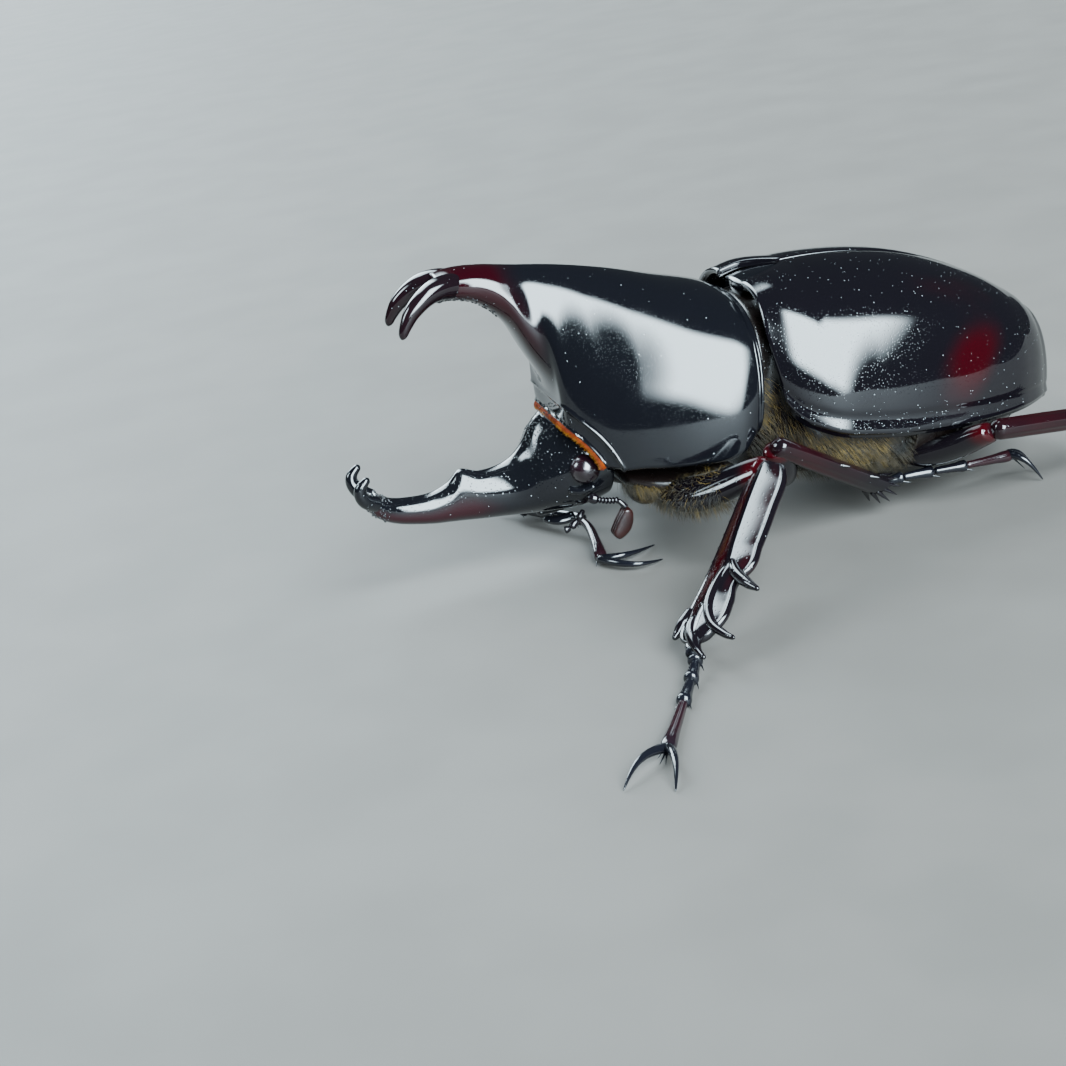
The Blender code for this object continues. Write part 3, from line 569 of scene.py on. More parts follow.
# %% The shield's sections
SHIELD_SECTIONS = sections(
    (-2.4, 8.4, -2.0, 20.9, 10.9, 0.28, 2.3),
    (-4.6, 7.0, -4.5, 22.0, 11.5, 0.12, 2.3),
    (-8.5, 6.6, -9.0, 22.9, 11.0, 0.08, 2.2),
    (-12.8, 6.4, -13.2, 23.8, 9.6, 0.07, 2.0),
    (-16.3, 6.4, -17.0, 24.4, 7.9, 0.07, 1.85),
    (-19.1, 8.6, -19.8, 24.7, 5.7, 0.18, 1.8),
    (-19.6, 13.0, -22.2, 24.85, 3.9, 0.28, 1.9),
    (-21.9, 17.0, -24.1, 25.0, 3.2, 0.42, 2.0),
    (-23.7, 19.8, -25.4, 25.1, 2.7, 0.5, 2.0),
    (-26.0, 21.6, -27.3, 25.1, 2.3, 0.5, 2.1),
    (-28.4, 22.2, -28.7, 24.9, 2.4, 0.5, 2.2),
    (-29.9, 22.1, -30.0, 24.5, 2.6, 0.5, 2.2),
)
SHIELD_END = 11.0
LOWER_ROUNDNESS = 0.8
REAR_CAP = [(0.0, scale) for scale in (0.0, 0.5, 0.85, 0.95, 0.975)]
BEAD_PLACES = (0.02, 0.05, 0.09, 0.13, 0.17, 0.21, 0.25, 0.30, 0.36, 0.42)
BEAD_SCALES = (0.990, 1.001, 1.008, 1.010, 1.006, 0.996, 0.990, 0.993, 0.999, 1.0)
REAR_BEAD = REAR_CAP + list(zip(BEAD_PLACES, BEAD_SCALES))


def shell_point(section, angle, scale=1.0):
    """A point of a leaning section: full above its widest level, flatter below it."""
    low_x, low_z, top_x, top_z, half_width, margin, crown = section
    side, rise = math.cos(angle), math.sin(angle)
    y = half_width * signed_power(side, 2 / crown)
    if rise > 0:
        share = margin + (1 - margin) * rise ** (2 / crown)
    else:
        share = margin - margin * abs(rise) ** LOWER_ROUNDNESS
    share = 0.5 + (share - 0.5) * scale
    return Vector((low_x + (top_x - low_x) * share, y * scale, low_z + (top_z - low_z) * share))


def even_stations(start, end, count):
    return [(start + (end - start) * i / count, 1.0) for i in range(count + 1)]


def closing_stations(end):
    """The last few stations, which draw the skin together to a point."""
    return [(end, scale) for scale in (0.95, 0.7, 0.3, 0.0)]


def grow_sections(bm, table, stations, around, tint, grit=None):
    """Adds the skin that a table of sections has at these (place, scale) stations."""

    def point(step, angle):
        place, scale = stations[step]
        return shell_point(table.read(place), angle, scale)

    grow_skin(bm, len(stations) - 1, around, point, tint, grit)


# %% [markdown]
# The head sits in an opening in the shield's front. A plane can cut it, but the real
# edge curves round the eye, so the skin is bent first, cut with the plane, and bent
# back. A few more cuts that remove nothing give the skin loops beside the edge, and
# those are lifted and sunk to make the fine bead and the smooth strip below it.

# %% The shield with its opening
COLLAR_POINT = Vector((-16.3, 0.0, 7.3))
COLLAR_NORMAL = Vector((0.66, 0.0, 0.75)).normalized()
COLLAR_LIFT = 0.3
OPENING_POINT = COLLAR_POINT + COLLAR_NORMAL * COLLAR_LIFT
OPENING_UP = COLLAR_NORMAL.cross(Vector((0, 1, 0)))
BEND_HEIGHT = 3.3
BEAD_WAY = 1.3
BEAD_LOOPS = (0.25, 0.6, 0.95, 1.12, 1.22, 1.3, 1.38, 1.48, 1.65)
BEAD_RIDGE = (0.10, BEAD_WAY, 0.11)
STRIP_DEPTH = 0.16
STRIP_FADE = 0.3
RIM_ROUNDING = 0.12
CAP_INSET = 0.25
CAP_SINK = 0.3


def opening_bend(place):
    """How far the opening's edge stands off its plane at the level of this place."""
    below = BEND_HEIGHT - (place - OPENING_POINT).dot(OPENING_UP)
    return max(0.2 - 0.05 * max(below, 0.0) ** 2, -0.9)


def cut_across(bm, place, **clear):
    """Cuts along the opening's plane through this place, and returns the cut's edges."""
    whole = bm.verts[:] + bm.edges[:] + bm.faces[:]
    cut = bmesh.ops.bisect_plane(
        bm, geom=whole, plane_co=place, plane_no=COLLAR_NORMAL, dist=1e-5, **clear
    )
    return [item for item in cut["geom_cut"] if isinstance(item, bmesh.types.BMEdge)]


def round_edges(bm, edges, radius):
    """Rounds these edges off with three strips of faces, and returns those faces."""
    settings = {"offset_type": "OFFSET", "segments": 3, "profile": 0.5, "affect": "EDGES", "material": -1}
    return bmesh.ops.bevel(bm, geom=edges, offset=radius, **settings)["faces"]


def raise_bead(bm):
    """Sinks the strip beside the opening and lifts the fine bead that bounds it."""
    bmesh.ops.recalc_face_normals(bm, faces=bm.faces)
    bm.normal_update()
    for vert in bm.verts:
        way = (vert.co - OPENING_POINT).dot(COLLAR_NORMAL)
        if 0.05 < way < 2 * BEAD_WAY:
            strip = STRIP_DEPTH * clamp((BEAD_WAY - way) / STRIP_FADE)
            vert.co += vert.normal * (ridge(way, *BEAD_RIDGE) - strip)


def open_front(bm):
    """Cuts the head's opening, rounds its rim, and returns the rim's points in order."""
    for vert in bm.verts:
        vert.co -= COLLAR_NORMAL * opening_bend(vert.co)
    edges = cut_across(bm, OPENING_POINT, clear_inner=True)
    for way in BEAD_LOOPS:
        cut_across(bm, OPENING_POINT + COLLAR_NORMAL * way)
    raise_bead(bm)
    points = {v: v.co.copy() for e in edges for v in e.verts}
    middle = sum(points.values(), Vector()) / len(points)

    def turn(place):
        return math.atan2((place - middle).dot(OPENING_UP), (place - middle).y)

    rim = [place + COLLAR_NORMAL * opening_bend(place) for place in sorted(points.values(), key=turn)]
    cap = bmesh.ops.edgeloop_fill(bm, edges=edges)["faces"]
    rounded = round_edges(bm, edges, RIM_ROUNDING)
    cap = [f for f in cap if f.is_valid] or [max(bm.faces, key=lambda f: len(f.verts))]
    bmesh.ops.inset_region(bm, faces=cap, thickness=CAP_INSET, depth=-CAP_SINK)
    for vert in bm.verts:
        vert.co += COLLAR_NORMAL * opening_bend(vert.co)
    print("opening rim:", len(rim), "points,", len(rounded), "bevel faces")
    return middle, rim


def shield_tint(share, angle):
    """Red gathers towards the horn."""
    return clamp((share - 0.50) / 0.22) * 0.95


def horned_shield():
    stations = REAR_BEAD + even_stations(0.5, SHIELD_END - 0.1, 150) + closing_stations(SHIELD_END)
    bm = new_mesh()
    grow_sections(bm, SHIELD_SECTIONS, stations, 112, shield_tint)
    return bm, *open_front(bm)


# %% [markdown]
# Each horn ends in a fork of two short tines that bend down or up. They are limbs of
# their own, rooted deep in the horn's end. Their granules, tiny round warts, are icy
# little balls half sunk in the skin, scattered by a seeded draw.


# %% Tines and granules
def grow_tine(bm, path, side, tint, grit):
    """Adds one tine; its path's rows are x, y, z, breadth and thickness."""
    last = len(path) - 1
    rows = [(i / last, x, y * side, z, *sizes) for i, (x, y, z, *sizes) in enumerate(path)]
    grow_limb(bm, Limb(rows, (0, 1, 0)), 40, 28, (0.05, 0.08), tint=even(tint), grit=even(grit))


UPPER_TINE = [
    (-26.2, 0.8, 23.5, 0.8, 0.8),
    (-28.4, 1.3, 23.6, 1.1, 1.15),
    (-30.0, 1.85, 23.5, 1.15, 1.05),
    (-31.3, 2.3, 22.9, 1.05, 0.9),
    (-32.5, 2.65, 21.8, 0.85, 0.75),
    (-33.2, 2.9, 20.6, 0.6, 0.55),
    (-33.6, 3.0, 19.5, 0.35, 0.35),
]


def under_horn(draw):
    """A place on the underside of the upper horn's arch."""
    section = SHIELD_SECTIONS.read(round(draw.uniform(8.2, 10.9), 3))
    return shell_point(section, -math.pi / 2 + draw.gauss(0, 0.5))


shield_mesh, RIM_MIDDLE, RIM = horned_shield()
for _, side in SIDES:
    grow_tine(shield_mesh, UPPER_TINE, side, 0.45, 0.1)
grow_granules(shield_mesh, random.Random(11), 260, under_horn, (0.05, 0.13))
piece("horned_shield", shield_mesh, BODY, SHIELD_FINISH, "shell", "pronotum", "thoracic_horn")

# %% [markdown]
# The head carries the lower horn, which sweeps forward and up, with one low knob on
# its back. It is made the way the shield is. A ridge, the canthus, runs from the cheek
# into the front of each eye, and the brow is covered with coarse warts.

# %% The head and the lower horn
HEAD_SECTIONS = sections(
    (-14.2, 3.0, -14.2, 11.0, 5.3, 0.5, 2.2),
    (-16.5, 2.0, -17.0, 11.6, 5.5, 0.45, 2.1),
    (-18.6, 1.5, -19.3, 11.6, 4.8, 0.4, 1.75),
    (-20.4, 1.35, -21.1, 10.1, 3.8, 0.38, 1.7),
    (-21.8, 1.3, -22.3, 7.8, 2.9, 0.4, 1.8),
    (-23.6, 1.25, -23.8, 6.4, 2.2, 0.45, 1.9),
    (-26.0, 1.2, -26.2, 5.8, 1.7, 0.5, 2.0),
    (-28.0, 1.2, -28.1, 6.15, 1.45, 0.45, 2.0),
    (-29.4, 1.2, -29.4, 4.9, 1.4, 0.5, 2.0),
    (-31.3, 1.25, -31.2, 4.1, 1.35, 0.5, 2.1),
    (-34.2, 1.6, -33.8, 3.95, 1.35, 0.5, 2.1),
    (-36.0, 2.3, -35.2, 4.2, 1.55, 0.5, 2.1),
    (-37.3, 3.4, -36.2, 4.8, 1.8, 0.5, 2.1),
)
HEAD_START = 0.18
HEAD_END = 12.0
LOWER_TINE = [
    (-36.2, 1.0, 3.9, 0.8, 0.8),
    (-37.5, 1.8, 4.7, 0.75, 0.7),
    (-37.9, 2.1, 5.8, 0.6, 0.55),
    (-37.1, 2.2, 6.9, 0.3, 0.3),
]
CHEEK = (-18.9, 4.6, 4.5)
SOCKET = EYE_CENTRE + Vector((0.7, 0.75, -1.5))
CANTHUS_RADIUS = 0.42


def head_tint(share, angle):
    """Red shows low on the sides of the lower horn."""
    low_side = bell(math.sin(angle) + 0.35, 0.5)
    return clamp((share - 0.38) / 0.15) * low_side * 0.9


def head_grit(share, angle):
    """The brow and the fork hold pale grains."""
    brow = bell(share - 0.15, 0.10) * max(math.sin(angle), 0.0) ** 0.5
    return 0.35 * brow + 0.5 * max(share - 0.9, 0.0) / 0.1


def on_head(low, high, spread):
    """A draw of places round the top of the head, between two stations."""

    def point(draw):
        section = HEAD_SECTIONS.read(round(draw.uniform(low, high), 3))
        return shell_point(section, math.pi / 2 + draw.gauss(0, spread))

    return point


def head_and_horn():
    stations = [(HEAD_START, scale) for scale in (0.0, 0.5, 0.9)]
    stations += even_stations(HEAD_START + 0.05, HEAD_END - 0.1, 130) + closing_stations(HEAD_END)
    bm = new_mesh()
    grow_sections(bm, HEAD_SECTIONS, stations, 72, head_tint, head_grit)
    bmesh.ops.edgeloop_fill(bm, edges=cut_across(bm, COLLAR_POINT, clear_outer=True))
    return bm


head_mesh = head_and_horn()
for _, side in SIDES:
    grow_tine(head_mesh, LOWER_TINE, side, 0.1, 0.35)
    sag = (0, 0.15 * side, -0.25)
    grow_spike(head_mesh, on_side(CHEEK, side), on_side(SOCKET, side), CANTHUS_RADIUS, sag, 0.6)
grow_granules(head_mesh, random.Random(21), 190, on_head(1.9, 3.8, 0.75), (0.03, 0.09))
grow_granules(head_mesh, random.Random(22), 120, on_head(10.6, 12.0, 2.0), (0.05, 0.13))
piece("head_with_horn", head_mesh, BODY, HEAD_FINISH, "shell", "head", "head_horn")

# %% [markdown]
# The eyes are balls that stand half out of the head. A sphere is the right shape as it
# is, and the lenses are too small to model, so they are left to bump. The soft skin
# between head and shield is a thin oval plate, hidden behind the fringe of bristles.

# %% Eyes and the collar
COLLAR_SIZE = (2.0, 3.8, 0.6)
COLLAR_RISE = 2.1
COLLAR_SINK = 0.6
COLLAR_ROUNDING = 0.2


def eyes():
    for name, side in SIDES:
        bm = new_mesh()
        bmesh.ops.create_uvsphere(bm, u_segments=48, v_segments=32, radius=EYE_RADIUS)
        bmesh.ops.translate(bm, vec=on_side(EYE_CENTRE, side), verts=bm.verts)
        piece(f"eyeball_{name}", bm, BODY, EYE_FINISH, "eye", f"eye_{name}")


def collar():
    bm = new_mesh()
    bmesh.ops.create_cone(bm, cap_ends=True, segments=72, radius1=1.0, radius2=1.0, depth=1.0)
    bmesh.ops.scale(bm, vec=COLLAR_SIZE, verts=bm.verts)
    rims = [e for e in bm.edges if max(len(f.verts) for f in e.link_faces) > 4]
    round_edges(bm, rims, COLLAR_ROUNDING)
    across = Vector((-COLLAR_NORMAL.z, 0.0, COLLAR_NORMAL.x))
    lean = Matrix((across, (0, 1, 0), COLLAR_NORMAL)).transposed().to_4x4()
    middle = COLLAR_POINT + across * COLLAR_RISE - COLLAR_NORMAL * COLLAR_SINK
    bmesh.ops.transform(bm, matrix=Matrix.Translation(middle) @ lean, verts=bm.verts)
    piece("neck_membrane", bm, BODY, MEMBRANE_FINISH, "membrane", "neck_collar")


eyes()
collar()

# %% [markdown]
# The two wing cases meet along a straight seam and wrap the body like halves of a nut.
# Each is a grid laid over a dome, with three things added to the plain dome: the
# seam's edge rolls in, a fine groove runs beside it, and a bead with a groove of its
# own runs along the outer margin. The sheet is then thickened by a wing case's wall.

# %% The wing cases
GAP = 0.3
WING_SECTIONS = Track(
    [
        (-1.6, 22.2, 9.7, 14.6),
        (0.8, 23.0, 11.3, 11.4),
        (3.2, 23.4, 12.3, 10.2),
        (8.5, 23.8, 12.9, 9.4),
        (14.5, 23.4, 12.8, 9.4),
        (20.0, 22.0, 11.9, 9.6),
        (25.0, 19.8, 9.7, 9.9),
        (28.0, 17.8, 7.0, 9.9),
        (29.5, 15.9, 5.0, 9.6),
        (30.2, 12.6, 3.2, 9.2),
        (30.9, 9.5, 1.0, 9.0),
    ]
)
WING_FRONT = -1.6
WING_REAR = 30.9
WING_WALL = 0.7
WING_ROUNDNESS = 2.35
SHOULDER_LEAN = 2.1
SHOULDER = 0.55
WING_FOLD = 0.9
FOLD_TUCK = 0.04
FOLD_DROP = 0.6
SEAM_ROLL = (0.20, 0.0, 0.12)
SEAM_GROOVE = (0.06, 0.62, 0.14)
MARGIN_BEAD = (0.16, 0.905, 0.016)
MARGIN_GROOVE = (0.10, 0.862, 0.014)
PLATE_WIDTH = 2.35
PLATE_LENGTH = 3.3


def small_plate_width(x):
    """Half the width of the small plate between the wing cases, at this x."""
    return PLATE_WIDTH * (1 - clamp(x / PLATE_LENGTH) ** 1.7)


def wing_point(along, across):
    """A point of the wing case: along from its base to its tip, across from seam to edge."""
    shoulder = max(across - SHOULDER, 0.0) / (1 - SHOULDER)
    front = WING_FRONT + SHOULDER_LEAN * shoulder**2
    x = front + (WING_REAR - front) * math.sin(along * math.pi / 2)
    top, width, margin = WING_SECTIONS.read(x)
    angle = min(across / WING_FOLD, 1.0) * math.pi / 2
    power = 2 / WING_ROUNDNESS
    y = width * math.sin(angle) ** power
    z = margin + (top - margin) * max(math.cos(angle), 0.0) ** power
    under = max(across - WING_FOLD, 0.0) / (1 - WING_FOLD)
    y *= 1 - FOLD_TUCK * under
    z -= FOLD_DROP * under
    z -= ridge(y, *SEAM_ROLL) + ridge(y, *SEAM_GROOVE)
    y += ridge(across, *MARGIN_BEAD) - ridge(across, *MARGIN_GROOVE)
    if x < PLATE_LENGTH:
        notch = small_plate_width(x) + GAP
        y = notch + y * (width - notch) / width
    return Vector((x, GAP / 2 + y, z))


def wing_tint(along, across):
    """Red shows in a cloud behind the middle and faintly along the back."""
    cloud = bell(along - 0.41 + (across - 0.68) * 0.35, 0.075) * bell(across - 0.67, 0.17)
    haze = 0.30 * bell(along - 0.38, 0.16) * bell(across - 0.33, 0.16)
    return cloud + haze


def wing_grit(along, across):
    """The outer margin is full of pale grains, most of all along its front half."""
    return bell(across - 0.885, 0.028) * bell(along - 0.18, 0.24) + 0.03


def wing_case(name, side):
    bm = new_mesh()
    tint_layer = bm.verts.layers.float["tint"]
    grit_layer = bm.verts.layers.float["grit"]
    bmesh.ops.create_grid(bm, x_segments=150, y_segments=130, size=0.5)
    for vert in bm.verts:
        along, across = vert.co.x + 0.5, vert.co.y + 0.5
        vert.co = on_side(wing_point(along, across), side)
        vert[tint_layer] = wing_tint(along, across)
        vert[grit_layer] = wing_grit(along, across)
    bmesh.ops.remove_doubles(bm, verts=bm.verts, dist=SEAM)
    if side < 0:
        bmesh.ops.reverse_faces(bm, faces=bm.faces)
    bmesh.ops.recalc_face_normals(bm, faces=bm.faces)
    if sum(face.normal.z for face in bm.faces) < 0:
        bmesh.ops.reverse_faces(bm, faces=bm.faces)
    bmesh.ops.solidify(bm, geom=bm.faces[:], thickness=WING_WALL)
    piece(f"wing_case_{name}", bm, BODY, WING_FINISH, "shell", f"elytron_{name}")


for name, side in SIDES:
    wing_case(name, side)


# %% [markdown]
# A small pointed plate fills the notch where the wing cases and the shield meet. It is
# slightly domed and lies a little lower than they do.

# %% The small plate between the wing cases
PLATE_STEPS = 24
PLATE_FRONT = -1.3
PLATE_SPAN = PLATE_LENGTH + 1.2
PLATE_DEPTH = 0.65
PLATE_DOME = 0.25
PLATE_KEEL = 1.6
PLATE_CURVE = 0.03


def small_plate():
    def point(step, angle):
        share = step / PLATE_STEPS
        x = PLATE_FRONT + PLATE_SPAN * share
        level = WING_SECTIONS.read(x)[0] - PLATE_DEPTH
        y = max(small_plate_width(x), 0.05) * math.cos(angle)
        rise = math.sin(angle) * (PLATE_DOME if math.sin(angle) > 0 else PLATE_KEEL)
        swell = end_scale(share, 0.06, 0.05)
        return Vector((x, y * swell, level + (rise - PLATE_CURVE * y * y) * swell))

    bm = new_mesh()
    grow_skin(bm, PLATE_STEPS, 40, point)
    piece("small_plate", bm, BODY, SHIELD_FINISH, "shell", "scutellum")


small_plate()

# %% [markdown]
# Below the wing cases lie the hind body and the belly, which is ringed. They show from
# the side and from below only, but the rings catch light under the rim, so a groove
# between each two rings is modelled in the sections. The breast between the front
# hips and the tail plate are made the same way.

# %% The body under the wing cases
BELLY_LINE = Track(
    [(-2.6, 4.4), (3.0, 3.6), (10.0, 3.7), (15.0, 4.2), (21.0, 4.9), (26.0, 6.2), (30.6, 8.6)]
)
UNDER_WING = 1.55
UNDER_WING_STRETCH = 1.09
UNDER_WING_MIDDLE = 10.0
FLANK_LEVEL = 9.4
THORAX_FRONT = -2.2
THORAX_END = 12.05
ABDOMEN_END = 27.4
TAIL_END = 28.9
RINGS = 6
RING_DEPTH = 0.45


def inner_section(x, groove):
    """The body's section at x, drawn in from the wing cases, with a groove's depth."""
    lowest = BELLY_LINE.read(x)[0] + groove
    stretched = UNDER_WING_MIDDLE + (x - UNDER_WING_MIDDLE) * UNDER_WING_STRETCH
    top, width, margin = WING_SECTIONS.read(stretched)
    top, width = top - UNDER_WING, max(width - UNDER_WING, 0.6)
    level = (max(margin, FLANK_LEVEL) - lowest) / (top - lowest)
    return (x, lowest, x, top, width - groove * 0.6, clamp(level, 0.2, 0.8), WING_ROUNDNESS)


def trunk_part(name, node, start, end, along, finish, slot, rings=0):
    """One length of the body, closed and rounded at both ends."""

    def point(step, angle):
        share = step / along if rings else eased(step / along)
        groove = 0.0
        if rings:
            turn = (share * rings) % 1.0
            groove = ridge(turn, RING_DEPTH, 0.0, 0.07) + ridge(turn, RING_DEPTH, 1.0, 0.03)
        section = inner_section(start + (end - start) * share, groove)
        return shell_point(section, angle, end_scale(share, 0.03, 0.03))

    bm = new_mesh()
    grow_skin(bm, along, 72, point)
    piece(name, bm, BODY, finish, slot, node)


trunk_part("hind_body", "hind_thorax", THORAX_FRONT, THORAX_END, 40, UNDER_FINISH, "underside")
trunk_part("belly", "abdomen", THORAX_END + GAP, ABDOMEN_END, 150, UNDER_FINISH, "underside", RINGS)
trunk_part("tail_plate", "pygidium", ABDOMEN_END - 1.6, TAIL_END, 40, HEAD_FINISH, "shell")

# %% The breast between the front hips
BREAST_SECTIONS = sections(
    (-3.6, 4.6, -3.6, 6.1, 7.6, 0.6, 3.0),
    (-8.0, 3.7, -8.0, 5.9, 8.3, 0.6, 3.0),
    (-11.5, 3.7, -11.5, 5.8, 7.4, 0.6, 3.0),
    (-13.9, 4.4, -13.9, 5.7, 5.6, 0.6, 3.0),
)
BREAST_END = 3
BREAST_STEPS = 48


def breast():
    def point(step, angle):
        share = eased(step / BREAST_STEPS)
        section = BREAST_SECTIONS.read(share * BREAST_END)
        return shell_point(section, angle, end_scale(share, 0.08, 0.08))

    bm = new_mesh()
    grow_skin(bm, BREAST_STEPS, 64, point)
    piece("breast", bm, BODY, UNDER_FINISH, "underside", "prosternum")


breast()

# %% [markdown]
# A leg is a hip ball, a thigh, a shin with teeth or spines, and a foot of small
# swollen joints that ends in two hooked claws. All six share these shapes, so one
# table says where each leg's joints are over the floor, and one says how stout each
# pair is.


# %% Where the legs are
class Leg:
    """One leg's joints, the way its shin runs, and the way out of its bent side."""

    def __init__(self, hip, bow, knee, ankle, foot, claw_aim, claw_bow=(0, 0, 0.75), inset=0.0):
        self.hip, self.bow, self.knee, self.ankle = map(Vector, (hip, bow, knee, ankle))
        self.length = (self.ankle - self.knee).length
        self.shin = (self.ankle - self.knee).normalized()
        bend = self.knee - self.hip
        self.outer = (bend - bend.dot(self.shin) * self.shin).normalized()
        self.foot = sections(self.ankle - self.outer * inset, *map(Vector, foot))
        self.claw_aim = Vector(claw_aim).normalized()
        self.claw_bow = Vector(claw_bow)


LEGS = {
    "front_left": Leg(
        hip=(-10.5, -3.5, 6.4),
        bow=(-7.8, -10.4, 6.9),
        knee=(-2.9, -16.4, 10.0),
        ankle=(-16.2, -30.2, 1.9),
        foot=[(-17.0, -32.0, 1.2), (-19.9, -36.8, 0.5), (-24.0, -44.1, 0.6)],
        inset=0.7,
        claw_aim=(-3.0, -4.4, -0.5),
    ),
    "front_right": Leg(
        hip=(-10.5, 3.5, 6.4),
        bow=(-7.0, 10.0, 6.8),
        knee=(-2.9, 15.6, 9.2),
        ankle=(-19.4, 13.6, 1.9),
        foot=[(-19.0, 10.9, 1.4), (-15.4, 3.2, 1.9), (-16.1, -5.0, 0.5)],
        claw_aim=(5.5, -0.8, -0.3),
        claw_bow=(-0.4, -1.7, 0.3),
    ),
    "middle_left": Leg(
        hip=(1.0, -4.5, 4.7),
        bow=(0.2, -10.2, 6.8),
        knee=(-0.9, -13.6, 10.6),
        ankle=(10.2, -9.6, 2.8),
        foot=[(12.4, -10.0, 3.2), (18.8, -10.3, 2.9), (24.0, -10.0, 2.6)],
        claw_aim=(3.0, -0.8, -2.5),
    ),
    "middle_right": Leg(
        hip=(1.0, 4.5, 4.7),
        bow=(2.2, 10.3, 6.6),
        knee=(3.0, 14.4, 10.0),
        ankle=(12.9, 21.4, 2.6),
        foot=[(14.4, 22.6, 2.4), (19.2, 26.3, 1.8), (23.2, 29.4, 1.6)],
        claw_aim=(2.6, 1.9, -1.4),
    ),
    "hind_left": Leg(
        hip=(9.4, -4.0, 3.7),
        bow=(15.6, -10.0, 4.9),
        knee=(19.9, -14.8, 7.4),
        ankle=(34.9, -12.5, 5.0),
        foot=[(36.9, -12.6, 4.2), (42.8, -13.0, 1.4), (48.2, -13.8, 0.45)],
        claw_aim=(3.2, -1.0, -0.3),
    ),
    "hind_right": Leg(
        hip=(9.4, 4.0, 3.7),
        bow=(15.2, 9.8, 4.4),
        knee=(19.0, 15.2, 6.8),
        ankle=(31.2, 24.6, 4.2),
        foot=[(32.7, 26.1, 3.4), (36.4, 31.0, 1.1), (39.2, 35.6, 0.45)],
        claw_aim=(1.8, 2.8, -0.3),
    ),
}
LEG_SHAPES = {
    "front": {"femur": (2.0, 1.3), "foot": 0.62, "claw": 5.8},
    "middle": {"femur": (1.65, 1.25), "tibia": (1.0, 1.6, 0.95), "foot": 0.55, "claw": 3.6},
    "hind": {"femur": (2.0, 1.25), "tibia": (1.0, 1.75, 1.0), "foot": 0.55, "claw": 3.6},
}
COXA_RADIUS = 1.9

# %% [markdown]
# The thigh is thickest near the knee and bends over the body's edge. The red of thin
# shell is strongest just before the knee.

# %% Hips and thighs
THIGH_GIRTH = Track([(0, 0.45), (0.35, 0.62), (0.9, 1.0), (1.5, 0.95), (2.0, 0.72)])
THIGH_START = 0.12
THIGH_END = 1.97
THIGH_PARTS = 8


def hip_piece(name, leg):
    bm = new_mesh()
    bmesh.ops.create_uvsphere(bm, u_segments=36, v_segments=24, radius=COXA_RADIUS)
    bmesh.ops.translate(bm, vec=leg.hip, verts=bm.verts)
    piece(f"hip_{name}", bm, FLOOR, UNDER_FINISH, "leg", f"coxa_{name}")


def thigh_limb(leg, shape):
    """The thigh's bent tube, from the hip over its bow to the knee."""
    broad, thick = shape["femur"]
    path = sections(leg.hip, leg.bow, leg.knee)
    rows = []
    for i in range(THIGH_PARTS + 1):
        place = THIGH_START + (THIGH_END - THIGH_START) * i / THIGH_PARTS
        size = THIGH_GIRTH.read(place)[0]
        rows.append((i / THIGH_PARTS, *path.read(place), broad * size, thick * size))
    return Limb(rows, leg.shin)


def thigh_piece(name, leg, shape):
    def tint(share, angle):
        return bell(share - 0.86, 0.10)

    bm = new_mesh()
    grow_limb(bm, thigh_limb(leg, shape), 56, 40, (0.02, 0.05), tint=tint)
    piece(f"thigh_{name}", bm, FLOOR, LEG_FINISH, "leg", f"femur_{name}")


# %% [markdown]
# The front shins are for digging: flat blades with a crest down the middle, which
# forks into blunt teeth that bend over the outer edge, and a spur within. A round limb
# can't show that crest, so the blade is a skin of its own, drawn from its two edges
# and its crest, and the teeth are limbs that lie half sunk in it.

# %% The digging shins
BLADE = Track(
    [
        (0.00, -1.20, 0.30, 1.60, 0.95),
        (0.10, -1.75, 0.35, 2.60, 1.00),
        (0.30, -1.85, 0.45, 2.95, 0.95),
        (0.50, -1.85, 0.75, 3.05, 0.90),
        (0.63, -1.95, 1.00, 2.95, 0.85),
        (0.68, -2.00, 0.80, 2.10, 0.80),
        (0.80, -2.15, 0.15, 2.35, 0.72),
        (0.90, -2.20, 0.10, 2.25, 0.66),
        (0.96, -1.90, 0.20, 1.40, 0.60),
        (1.00, -1.20, 0.10, 0.80, 0.45),
    ]
)
DIGGING_TEETH = [
    [(0.58, 0.9, 0.62), (0.66, 1.9, 0.45), (0.72, 3.3, 0.2), (0.76, 4.6, 0.0)],
    [
        (0.60, 0.8, 0.60),
        (0.72, 0.35, 0.55),
        (0.83, 0.4, 0.45),
        (0.92, 1.3, 0.3),
        (0.98, 2.9, 0.1),
        (1.01, 4.1, 0.0),
    ],
    [(0.86, -0.7, 0.40), (0.93, -0.7, 0.35), (1.00, 0.0, 0.2), (1.05, 0.8, 0.1), (1.09, 1.7, 0.0)],
]
TOOTH_GIRTH = (0.45, 0.62, 0.62, 0.50, 0.36, 0.20)
DIGGING_SPUR = [(0.80, -1.9, 0.1), (0.88, -2.3, 0.0), (0.95, -2.75, 0.0)]
BLADE_STEPS = 120
BLADE_EDGE = 0.16
BLADE_RIM = (0.10, 0.90, 0.05)
BLADE_BRISTLES = 9


